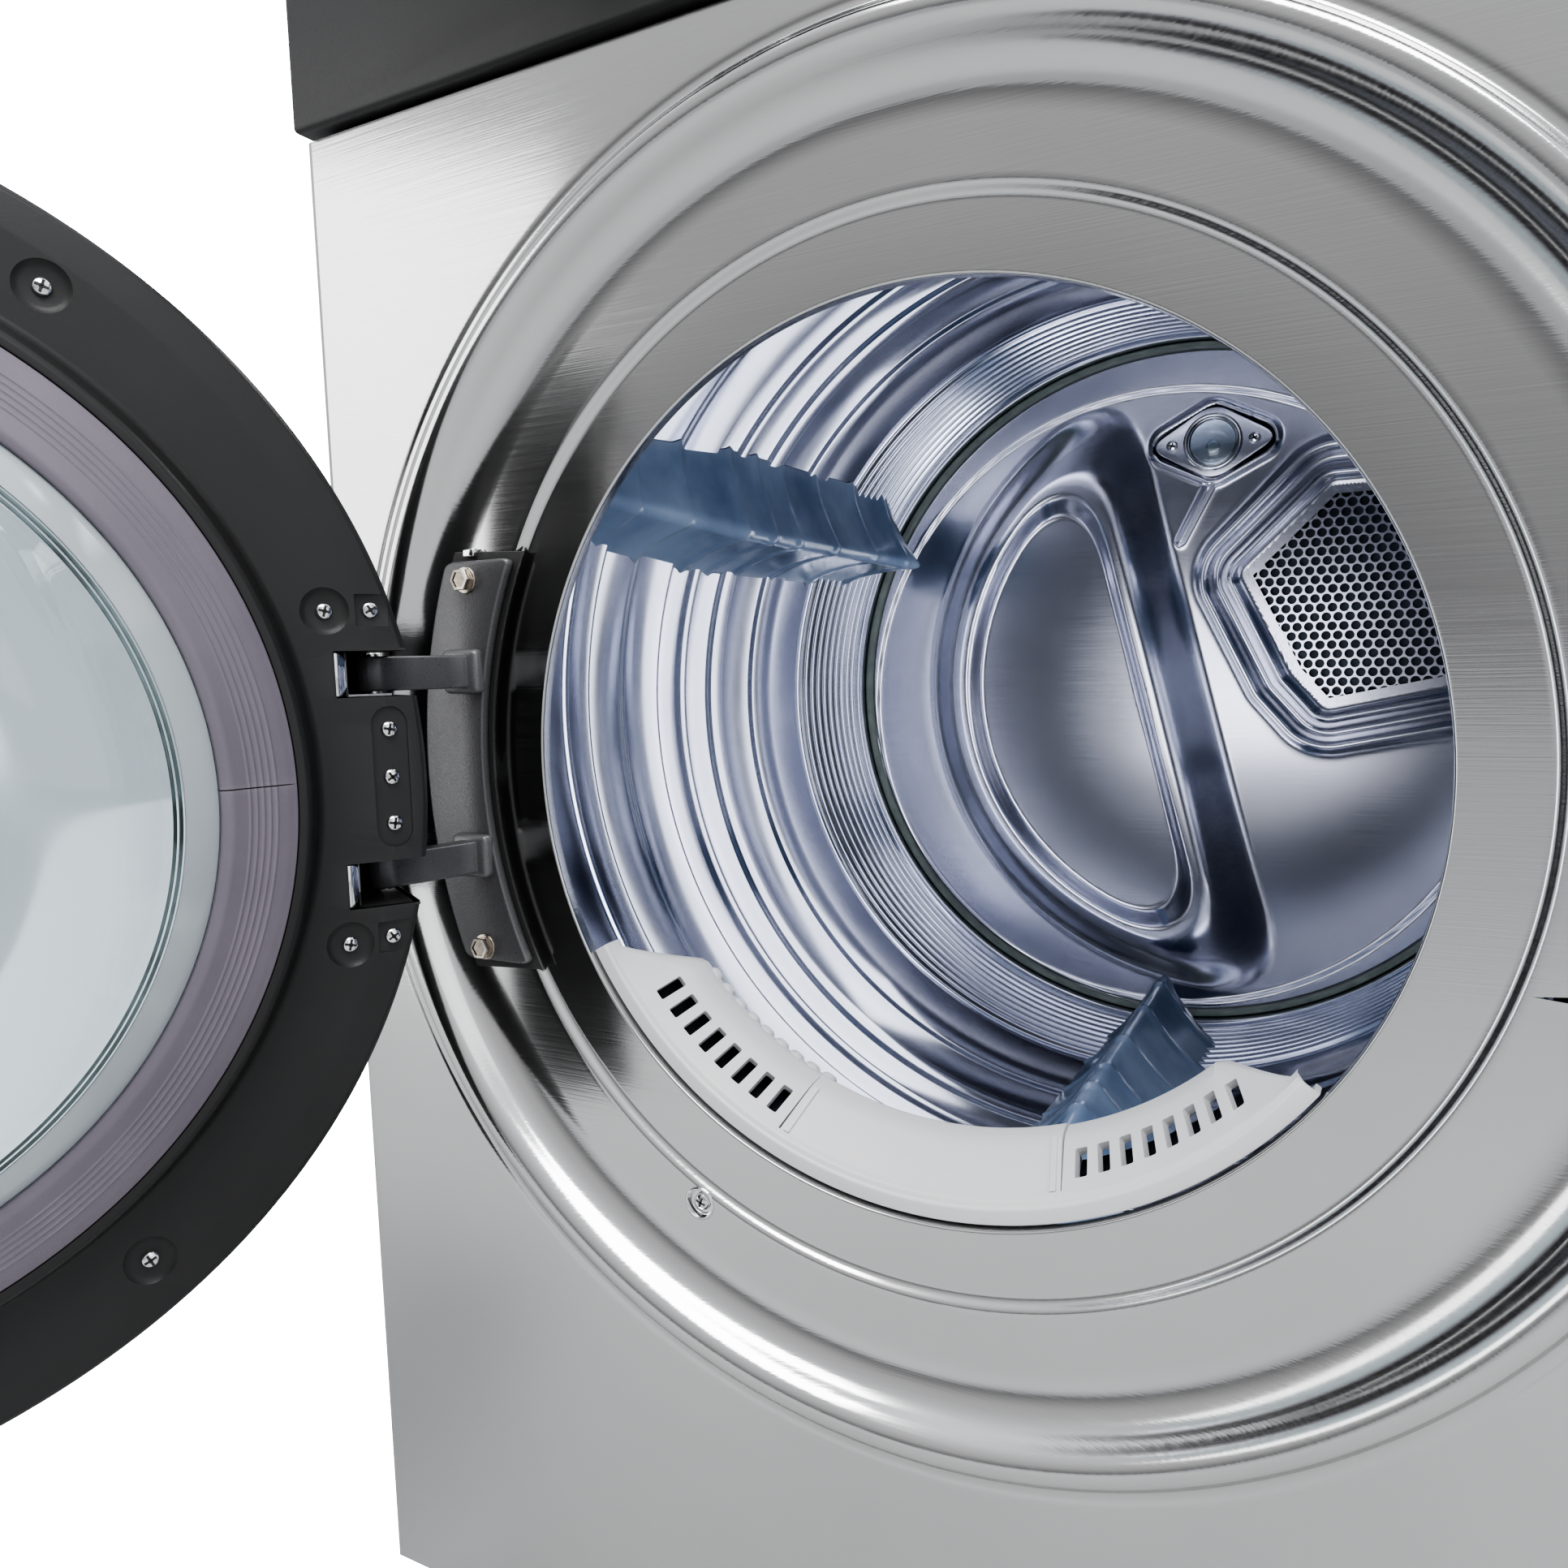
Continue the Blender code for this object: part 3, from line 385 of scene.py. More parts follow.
class Place:
    """Matrices that set a shape drawn in the dryer's own frame where the frame has it."""

    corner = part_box("front_panel")[0]
    shift = Vector((corner.x + HALF_WIDTH, corner.y + 0.0255, 0.0))

    @classmethod
    def floor(cls) -> Matrix:
        """For shapes whose z starts at the floor."""
        return Matrix.Translation(cls.shift)

    @classmethod
    def opening(cls) -> Matrix:
        """For shapes drawn about the loading opening's axis."""
        return Matrix.Translation(cls.shift + Vector((0, 0, OPENING_Z)))

    @classmethod
    def drum(cls) -> Matrix:
        """For shapes drawn about the drum's axis."""
        return Matrix.Translation(cls.shift + Vector((0, 0, DRUM_Z)))

    @classmethod
    def door(cls) -> Matrix:
        """For door shapes, drawn as they lie when the door is shut."""
        swing = Matrix.Rotation(-OPEN_ANGLE, 4, "Z")
        return cls.opening() @ Matrix.Translation(HINGE) @ swing @ Matrix.Translation(-HINGE)


# ---------------------------------------------------------------- shapes

class Shape:
    """Mesh building shared by the sub-assemblies."""

    @staticmethod
    def fillet(corners: Sequence[Corner], steps: int = 5) -> list[Point]:
        """Round the corners of a line.

        Args:
            corners: (a, b, radius) of each corner; radius 0 keeps it sharp.
            steps: the points that one round stretch takes.

        Returns:
            The rounded line.
        """
        line: list[Point] = []
        last = len(corners) - 1
        for i, (a, b, radius) in enumerate(corners):
            here = Vector((a, b))
            if radius <= 0 or i in (0, last):
                line.append((a, b))
                continue
            before = Vector(corners[i - 1][:2]) - here
            after = Vector(corners[i + 1][:2]) - here
            near = here + before.normalized() * min(radius, before.length * 0.45)
            far = here + after.normalized() * min(radius, after.length * 0.45)
            for k in range(steps + 1):
                t = k / steps
                line.append(tuple(near * (1 - t) ** 2 + here * 2 * t * (1 - t) + far * t * t))
        return line

    @staticmethod
    def tidy(bm: BMesh, merge: float = 1e-6) -> BMesh:
        """Merge doubles and turn the faces outwards.

        Args:
            bm: the mesh.
            merge: the distance within which points are one.

        Returns:
            The same mesh.
        """
        bmesh.ops.remove_doubles(bm, verts=bm.verts[:], dist=merge)
        bmesh.ops.recalc_face_normals(bm, faces=bm.faces[:])
        return bm

    @classmethod
    def turned(cls, profile: Sequence[Point], steps: int, closed: bool = True,
               start: float = 0.0, sweep: float = 360.0) -> BMesh:
        """Spin a profile about the Y axis.

        Args:
            profile: (radius, y) points.
            steps: the number of steps round.
            closed: whether the profile's ends meet.
            start: first angle in degrees, from +X towards +Z.
            sweep: angle that it turns through.

        Returns:
            The turned mesh, with flat ends where it doesn't go all the way round.
        """
        bm = bmesh.new()
        verts = [bm.verts.new((r, y, 0.0)) for r, y in profile]
        pairs = list(zip(verts, verts[1:]))
        if closed:
            pairs.append((verts[-1], verts[0]))
        edges = [bm.edges.new(pair) for pair in pairs]
        bmesh.ops.rotate(bm, verts=verts, matrix=Matrix.Rotation(-math.radians(start), 3, "Y"))
        full = abs(sweep - 360.0) < 1e-6
        bmesh.ops.spin(bm, geom=verts + edges, cent=(0, 0, 0), axis=(0, -1, 0),
                       angle=math.radians(sweep), steps=steps, use_merge=full)
        cls.tidy(bm)
        if closed and not full:
            bmesh.ops.holes_fill(bm, edges=[e for e in bm.edges if e.is_boundary])
            bmesh.ops.recalc_face_normals(bm, faces=bm.faces[:])
        return bm

    @classmethod
    def slab(cls, outline: Sequence[Point], low: float, high: float, axis: str = "Y",
             bevel: float = 0.0, segments: int = 3) -> BMesh:
        """Extrude a flat outline.

        Args:
            outline: its points: (x, z) for axis Y, (x, y) for axis Z, (y, z) for axis X.
            low: where it starts along the axis.
            high: where it ends.
            axis: X, Y or Z.
            bevel: width of the bevel round both faces.
            segments: steps of the bevel.

        Returns:
            The solid.
        """
        sort = {"Y": lambda a, b: (a, low, b), "Z": lambda a, b: (a, b, low),
                "X": lambda a, b: (low, a, b)}[axis]
        along = {"X": Vector((1, 0, 0)), "Y": Vector((0, 1, 0)), "Z": Vector((0, 0, 1))}[axis]
        bm = bmesh.new()
        base = bm.faces.new([bm.verts.new(sort(a, b)) for a, b in outline])
        made = bmesh.ops.extrude_face_region(bm, geom=[base])
        moved = [v for v in made["geom"] if isinstance(v, bmesh.types.BMVert)]
        bmesh.ops.translate(bm, verts=moved, vec=along * (high - low))
        bmesh.ops.recalc_face_normals(bm, faces=bm.faces[:])
        if bevel > 0:
            flat = [e for e in bm.edges
                    if len({round(v.co.dot(along), 6) for v in e.verts}) == 1]
            bmesh.ops.bevel(bm, geom=flat, offset=bevel, segments=segments, profile=0.5,
                            affect="EDGES", material=-1, clamp_overlap=True)
        return bm

    @staticmethod
    def block(low: Corner, high: Corner, bevel: float = 0.0, segments: int = 3) -> BMesh:
        """A box between two corners, its edges rounded by the bevel.

        Args:
            low: its lowest corner.
            high: its highest corner.
            bevel: width of the round on its edges; 0 leaves them sharp.
            segments: steps of the round.

        Returns:
            The box.
        """
        bm = bmesh.new()
        bmesh.ops.create_cube(bm, size=1.0)
        size = [b - a for a, b in zip(low, high)]
        centre = [(a + b) / 2 for a, b in zip(low, high)]
        bmesh.ops.scale(bm, vec=size, verts=bm.verts[:])
        bmesh.ops.translate(bm, vec=centre, verts=bm.verts[:])
        if bevel > 0:
            bmesh.ops.bevel(bm, geom=bm.edges[:], offset=bevel, segments=segments,
                            profile=0.5, affect="EDGES", material=-1, clamp_overlap=True)
        return bm

    @staticmethod
    def arc(radius: float, start: float, end: float, count: int,
            centre: Point = (0.0, 0.0)) -> list[Point]:
        """Points along an arc, its angles in degrees, both ends included.

        Args:
            radius: its radius.
            start: first angle.
            end: last angle.
            count: the steps between them.
            centre: the middle of the arc.

        Returns:
            The points.
        """
        turns = [math.radians(start + (end - start) * i / count) for i in range(count + 1)]
        return [(centre[0] + radius * math.cos(t), centre[1] + radius * math.sin(t))
                for t in turns]

    @classmethod
    def stadium(cls, half_length: float, radius: float, count: int = 10) -> list[Point]:
        """A slot outline, upright, with round ends."""
        top = cls.arc(radius, 0, 180, count, (0.0, half_length))
        return top + cls.arc(radius, 180, 360, count, (0.0, -half_length))

    @staticmethod
    def shifted(bm: BMesh, x: float = 0.0, y: float = 0.0, z: float = 0.0) -> BMesh:
        """Move a mesh and hand it back."""
        bmesh.ops.translate(bm, verts=bm.verts[:], vec=(x, y, z))
        return bm

    @staticmethod
    def joined(parts: Iterable[BMesh]) -> BMesh:
        """Put several meshes into one, as they lie.

        Args:
            parts: the meshes, which are used up.

        Returns:
            The one mesh.
        """
        whole = bmesh.new()
        for part in parts:
            mesh = bpy.data.meshes.new("part")
            part.to_mesh(mesh)
            part.free()
            whole.from_mesh(mesh)
            bpy.data.meshes.remove(mesh)
        return whole

    @classmethod
    def loft(cls, rows: Sequence[Sequence[Corner]]) -> BMesh:
        """Bridge closed rows of points, one after another, and fill both ends.

        Args:
            rows: rings of points, all of one length.

        Returns:
            The closed solid.
        """
        bm = bmesh.new()
        rings: list[list[BMEdge]] = []
        for row in rows:
            verts = [bm.verts.new(p) for p in row]
            rings.append([bm.edges.new((verts[i - 1], verts[i])) for i in range(len(verts))])
        for one, two in zip(rings, rings[1:]):
            bmesh.ops.bridge_loops(bm, edges=one + two)
        bmesh.ops.holes_fill(bm, edges=[e for e in bm.edges if e.is_boundary])
        bmesh.ops.recalc_face_normals(bm, faces=bm.faces[:])
        return bm


@dataclass
class Assembly:
    """A sub-assembly: it dresses its meshes and sets them on their bodies."""

    def piece(self, name: str, bm: BMesh, finish: Finish, place: Matrix, body: Body,
              replaces: Sequence[str] = (), cuts: Sequence[BMesh] = (), wall: float = 0.0,
              sharp: float = 32.0) -> bpy.types.Object:
        """Make one finished piece.

        Args:
            name: the piece's name.
            bm: its mesh, which is used up.
            finish: its finish.
            place: the matrix that sets it in the frame.
            body: the body that it rides on.
            replaces: the CAD nodes that it stands for.
            cuts: meshes that are cut out of it, in the same frame as bm.
            wall: thickness given to an open sheet, behind its faces.
            sharp: angle above which an edge stays sharp.

        Returns:
            The object.
        """
        obj = self._object(name, bm)
        if wall > 0:
            thicken = obj.modifiers.new("wall", "SOLIDIFY")
            thicken.thickness = wall
            thicken.offset = -1.0
        tools = [self._object(f"{name}_tool_{i}", cut) for i, cut in enumerate(cuts)]
        for tool in tools:
            step = obj.modifiers.new("cut", "BOOLEAN")
            step.operation = "DIFFERENCE"
            step.object = tool
        if obj.modifiers:
            self._apply(obj)
        for tool in tools:
            bpy.data.objects.remove(tool, do_unlink=True)
        obj.data.transform(place)
        obj.data.shade_smooth()
        obj.data.set_sharp_from_angle(angle=math.radians(sharp))
        obj.data.materials.clear()
        obj.data.materials.append(finish.material())
        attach(obj, body.value)
        if replaces:
            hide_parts(*replaces)
        log.info("%s: %d faces on %s", name, len(obj.data.polygons), body.value)
        return obj

    @staticmethod
    def _object(name: str, bm: BMesh) -> bpy.types.Object:
        """An object of a mesh, which is used up.

        Args:
            name: its name.
            bm: the mesh.

        Returns:
            The object.
        """
        mesh = bpy.data.meshes.new(name)
        bm.to_mesh(mesh)
        bm.free()
        obj = bpy.data.objects.new(name, mesh)
        bpy.context.collection.objects.link(obj)
        return obj

    @staticmethod
    def _apply(obj: bpy.types.Object) -> None:
        """Apply the object's modifiers to its mesh.

        Args:
            obj: the object.
        """
        graph = bpy.context.evaluated_depsgraph_get()
        made = bpy.data.meshes.new_from_object(obj.evaluated_get(graph))
        obj.modifiers.clear()
        obj.data = made


# ---------------------------------------------------------------- hardware

@dataclass
class Screws(Assembly):
    """Cross-head screws: a domed head, its pressed-in cross drawn as a black cross of painted shade."""

    radius: float = 0.0046
    dome: float = 0.0019

    def head(self, x: float, y: float, z: float, turn: float = 0.0, facing: float = -1.0) -> BMesh:
        """One head.

        Args:
            x: place across.
            y: the surface that it sits on.
            z: place up.
            turn: angle of its cross, in radians.
            facing: -1 where it faces -Y, 1 where it faces +Y.

        Returns:
            The head's mesh.
        """
        line = [(self.radius, 0.0), (self.radius, -0.0006)]
        line += [(self.radius * math.cos(t), -0.0006 - self.dome * math.sin(t))
                 for t in (0.35, 0.7, 1.05)]
        line += [(0.0011, -0.0006 - self.dome), (0.0007, -0.0002 - self.dome * 0.5), (0.0, -0.0008)]
        bm = Shape.turned(line, 20, closed=False)
        bmesh.ops.rotate(bm, verts=bm.verts[:], matrix=Matrix.Rotation(turn, 3, "Y"))
        if facing > 0:
            bmesh.ops.rotate(bm, verts=bm.verts[:], matrix=Matrix.Rotation(math.pi, 3, "Z"))
        return Shape.shifted(bm, x, y, z)

    def cross(self, x: float, y: float, z: float, turn: float, facing: float = -1.0) -> BMesh:
        """A black cross just proud of a head's dome: painted shade standing for the cross pressed into
        it.

        Args:
            x: place across.
            y: place along the depth.
            z: place up.
            turn: angle of its cross, in radians.
            facing: -1 where it faces -Y, 1 where it faces +Y.

        Returns:
            The cross's mesh.
        """
        bars = []
        reach, width = 0.0027, 0.00055
        for quarter in range(2):
            bar = Shape.block((-reach, -self.dome - 0.00072, -width),
                              (reach, -self.dome + 0.0004, width), 0.0001, 1)
            bmesh.ops.rotate(bar, verts=bar.verts[:],
                             matrix=Matrix.Rotation(turn + quarter * math.pi / 2, 3, "Y"))
            bars.append(bar)
        whole = Shape.joined(bars)
        if facing > 0:
            bmesh.ops.rotate(whole, verts=whole.verts[:], matrix=Matrix.Rotation(math.pi, 3, "Z"))
        return Shape.shifted(whole, x, y, z)

    def build(self, name: str, spots: Sequence[Corner], place: Matrix, body: Body,
              facing: float = -1.0, finish: Finish = CHROME) -> None:
        """Set a row of screws, each with its black cross of painted shade, turned every way.

        Args:
            name: the start of the pieces' names.
            spots: the heads' places.
            place: the matrix that sets them in the frame.
            body: the body that they ride on.
            facing: -1 where it faces -Y, 1 where it faces +Y.
            finish: the heads' finish.
        """
        turns = [0.35 + 0.77 * i for i in range(len(spots))]
        heads = [self.head(*spot, turn, facing) for spot, turn in zip(spots, turns)]
        self.piece(f"{name}_screws", Shape.joined(heads), finish, place, body)
        # black cross marks: painted shade of each pressed-in cross
        cross_shades = [self.cross(*spot, turn, facing) for spot, turn in zip(spots, turns)]
        self.piece(f"{name}_screw_crosses", Shape.joined(cross_shades), GLOSS_BLACK, place, body)


# ---------------------------------------------------------------- front

@dataclass
class FrontPanel(Assembly):
    """The brushed front: lip, recessed band, raised ring, flat face, rolled side edges."""

    steps: int = 256
    flat_y: float = -0.022
    roll: float = 0.006
    low: float = 0.030 - OPENING_Z
    high: float = 0.8675 - OPENING_Z
    screw_at: Point = (-0.1208, -0.2282)

    def profile(self) -> list[Point]:
        """Section from the lip out to the flat face.

        Returns:
            (radius, y) points from the lip outwards.
        """
        return Shape.fillet([
            (0.2147, 0.0062, 0), (0.2147, 0.0, 0.0016), (0.2464, 0.0, 0.0022),
            (0.2500, -0.0037, 0.0020), (0.2530, -0.0040, 0.001), (0.2860, -0.0046, 0.010),
            (0.2985, -0.0120, 0.008), (0.3045, -0.0215, 0.006), (0.3100, -0.0255, 0.004),
            (0.3165, -0.0254, 0.0025), (0.3200, -0.0216, 0.0015), (0.3235, -0.0214, 0.001),
            (0.3260, self.flat_y, 0.002), (0.3340, self.flat_y, 0)], 6)

    def sheet(self) -> BMesh:
        """The whole pressing as one sheet.

        Returns:
            The sheet, its faces to the front.
        """
        bm = Shape.turned(self.profile(), self.steps, closed=False)
        ring = [e for e in bm.edges if e.is_boundary and e.verts[0].co.xz.length > 0.33]
        side, low, high = HALF_WIDTH - self.roll, self.low + self.roll, self.high - 0.002
        corners = [(side, high), (-side, high), (-side, low), (side, low)]
        verts = [bm.verts.new((x, self.flat_y, z)) for x, z in corners]
        rim = [bm.edges.new((verts[i - 1], verts[i])) for i in range(4)]
        bmesh.ops.triangle_fill(bm, edges=ring + rim, use_beauty=True, normal=(0, -1, 0))
        for out, back in ((0.32, 0.02), (0.30, 0.10), (0.22, 0.24), (0.12, 0.30), (0.04, 0.34)):
            rim = self._roll(bm, rim, out * self.roll, back * self.roll)
        self._roll(bm, rim, 0.0, -0.0043 - self.flat_y - self.roll)
        bmesh.ops.recalc_face_normals(bm, faces=bm.faces[:])
        if sum(f.normal.y * f.calc_area() for f in bm.faces) > 0:
            bmesh.ops.reverse_faces(bm, faces=bm.faces[:])
        return bm

    def _roll(self, bm: BMesh, rim: list[BMEdge], out: float, back: float) -> list[BMEdge]:
        """Extrude the rim once, outwards and back, and return the new rim.

        Args:
            bm: the mesh.
            rim: the outer edges of the sheet so far.
            out: how far the new rim moves outwards.
            back: how far it moves back.

        Returns:
            The new rim.
        """
        made = bmesh.ops.extrude_edge_only(bm, edges=rim)["geom"]
        for v in (g for g in made if isinstance(g, bmesh.types.BMVert)):
            v.co.x += math.copysign(out, v.co.x)
            v.co.z += math.copysign(out if v.co.z < 0 else 0.0, v.co.z)
            v.co.y += back
        return [g for g in made if isinstance(g, BMEdge) and g.is_boundary]

    def build(self) -> None:
        """Make the panel, its screw in a round cup, and the latch slot."""
        slot = Shape.slab([(0.2530, -0.0850), (0.2720, -0.0850), (0.2720, -0.0580), (0.2530, -0.0580)],
                          -0.03, 0.01)
        lead = Shape.slab([(0.2410, -0.0769), (0.2535, -0.0781), (0.2535, -0.0757)], -0.03, 0.01)
        x, z = self.screw_at
        bore = Shape.shifted(Shape.turned([(0.0075, -0.02), (0.0075, 0.02), (0, 0.02), (0, -0.02)],
                                          32, closed=False), x, 0, z)
        bmesh.ops.holes_fill(bore, edges=[e for e in bore.edges if e.is_boundary])
        self.piece("front_panel_sheet", self.sheet(), BRUSHED, Place.opening(), Body.CABINET,
                   ["front_panel"], [slot, lead, bore], 0.0009)
        cup = Shape.fillet([(0.0088, -0.0035, 0), (0.0086, -0.0047, 0.0006), (0.0074, -0.0049, 0.0006),
                            (0.0070, -0.0006, 0.001), (0.0000, -0.0004, 0)], 4)
        self.piece("front_screw_cup", Shape.shifted(Shape.turned(cup, 32, closed=False), x, 0, z),
                   CHROME, Place.opening(), Body.CABINET, wall=0.0003)
        Screws().build("front_panel", [(x, -0.0008, z)], Place.opening(), Body.CABINET)


@dataclass
class LintParts(Assembly):
    """The white cover over the lint duct, its slots, and the filter's plain grip."""

    first: float = 208.5
    last: float = 323.5
    grip: Point = (247.0, 289.0)
    slots: tuple[float, ...] = field(default_factory=lambda: tuple(
        [219.3 + 3.55 * i for i in range(8)] + [291.9 + 3.3 * i for i in range(8)]))

    def shell(self) -> list[Point]:
        """Section of the cover: edge on the lip, slotted slope, crest, back.

        Returns:
            (radius, y) points round the section.
        """
        return Shape.fillet([
            (0.2135, 0.0530, 0), (0.2135, 0.0036, 0.0008), (0.2058, 0.0030, 0.0010),
            (0.2048, 0.0042, 0.0003), (0.2024, 0.0052, 0.0010), (0.1846, 0.0330, 0.0040),
            (0.1826, 0.0430, 0.0030), (0.1850, 0.0510, 0.0020), (0.1885, 0.0515, 0.0005),
            (0.1875, 0.0440, 0.002), (0.1895, 0.0340, 0.004), (0.2065, 0.0085, 0.001),
            (0.2110, 0.0080, 0.001), (0.2110, 0.0530, 0)], 5)

    def cover(self) -> BMesh:
        """The cover, its ends sloping down to the lip.

        Returns:
            The cover's mesh.
        """
        bm = Shape.turned(self.shell(), 92, True, self.first, self.last - self.first)
        for v in bm.verts:
            turn = math.degrees(math.atan2(v.co.z, v.co.x)) % 360
            radius = v.co.xz.length
            share = min(1.0, max(0.04, min(turn - 209.5, self.last - 1.0 - turn) / 9.0))
            if radius < 0.2030:
                wanted = 0.2030 - (0.2030 - radius) * share
                v.co.x *= wanted / radius
                v.co.z *= wanted / radius
            if v.co.y > 0.0036:
                v.co.y = 0.0036 + (v.co.y - 0.0036) * min(1.0, share + 0.15)
        return bm

    def slot_tool(self) -> BMesh:
        """All the slots as one cutter.

        Returns:
            The cutter.
        """
        parts = []
        for turn in self.slots:
            tool = Shape.block((0.1700, 0.0115, -0.0030), (0.2010, 0.0275, 0.0030), 0.0006, 1)
            tilt = math.radians(33)
            pivot = Vector((0.1935, 0.0195, 0))
            bmesh.ops.rotate(tool, verts=tool.verts[:], cent=pivot,
                             matrix=Matrix.Rotation(tilt, 3, "Z"))
            bmesh.ops.rotate(tool, verts=tool.verts[:],
                             matrix=Matrix.Rotation(-math.radians(turn), 3, "Y"))
            parts.append(tool)
        return Shape.joined(parts)

    def scallops(self) -> BMesh:
        """Rounded ribs standing behind the crest, over the mesh.

        Returns:
            The ribs.
        """
        parts = []
        for i in range(9):
            turn = 221.0 + 3.3 * i
            rib = Shape.block((0.1832, 0.0440, -0.0050), (0.2080, 0.0545, 0.0050), 0.0040, 4)
            bmesh.ops.rotate(rib, verts=rib.verts[:],
                             matrix=Matrix.Rotation(-math.radians(turn), 3, "Y"))
            parts.append(rib)
        return Shape.joined(parts)

    def grip_section(self) -> list[Point]:
        """Section of the filter's grip, a little proud of the cover.

        Returns:
            (radius, y) points round the section.
        """
        return Shape.fillet([
            (0.2128, 0.0300, 0), (0.2128, 0.0082, 0), (0.2045, 0.0074, 0.0008),
            (0.2016, 0.0082, 0.0010), (0.1832, 0.0330, 0.0050), (0.1812, 0.0440, 0.0030),
            (0.1850, 0.0470, 0.002), (0.2128, 0.0470, 0)], 5)

    def build(self) -> None:
        """Make the cover, ribs, a near-black sheet of painted shade inside it, and filter."""
        at = Place.opening()
        seat = Shape.turned([(0.2034, 0.0079), (0.1700, 0.0079), (0.1700, 0.0600), (0.2034, 0.0600)],
                            24, True, self.grip[0] - 0.25, self.grip[1] - self.grip[0] + 0.5)
        bottom = Shape.turned([(0.2240, 0.0079), (0.2030, 0.0079), (0.2030, 0.0345), (0.2240, 0.0345)],
                              24, True, self.grip[0] - 0.25, self.grip[1] - self.grip[0] + 0.5)
        self.piece("lint_cover", self.cover(), WHITE, at, Body.CABINET, ["lint_filter_cover"],
                   [self.slot_tool(), seat, bottom], sharp=28)
        # near-black sheets behind the slots: painted shade inside the duct
        for name, start, sweep in (("left", 217.5, 29.0), ("right", 290.0, 28.0)):
            dark = Shape.turned([(0.2110, 0.0120), (0.2075, 0.0120), (0.1985, 0.0380), (0.2110, 0.0380)],
                                24, True, start, sweep)
            self.piece(f"lint_cover_dark_{name}", dark, DUCT_SHADE, at, Body.CABINET)
        self.piece("lint_cover_ribs", self.scallops(), WHITE, at, Body.CABINET)
        grip = Shape.turned(self.grip_section(), 48, True, self.grip[0], self.grip[1] - self.grip[0])
        screen = Shape.block((-0.066, 0.0105, 0.110 - OPENING_Z), (0.060, 0.0255, -0.2045), 0.001, 2)
        self.piece("lint_filter_body", Shape.joined([grip, screen]), WHITE, at, Body.FILTER,
                   ["lint_filter"], sharp=28)
        self.piece("lint_filter_border", self.border(), WHITE, at, Body.FILTER)

    def border(self) -> BMesh:
        """The raised line that frames the grip's slope.

        Returns:
            The border's mesh.
        """
        parts = []
        for start in (self.grip[0] + 0.6, self.grip[1] - 1.4):
            parts.append(Shape.turned([(0.2010, 0.0084), (0.1836, 0.0318), (0.1830, 0.0312),
                                       (0.2002, 0.0080)], 3, True, start, 0.8))
        return Shape.joined(parts)


# ---------------------------------------------------------------- drum

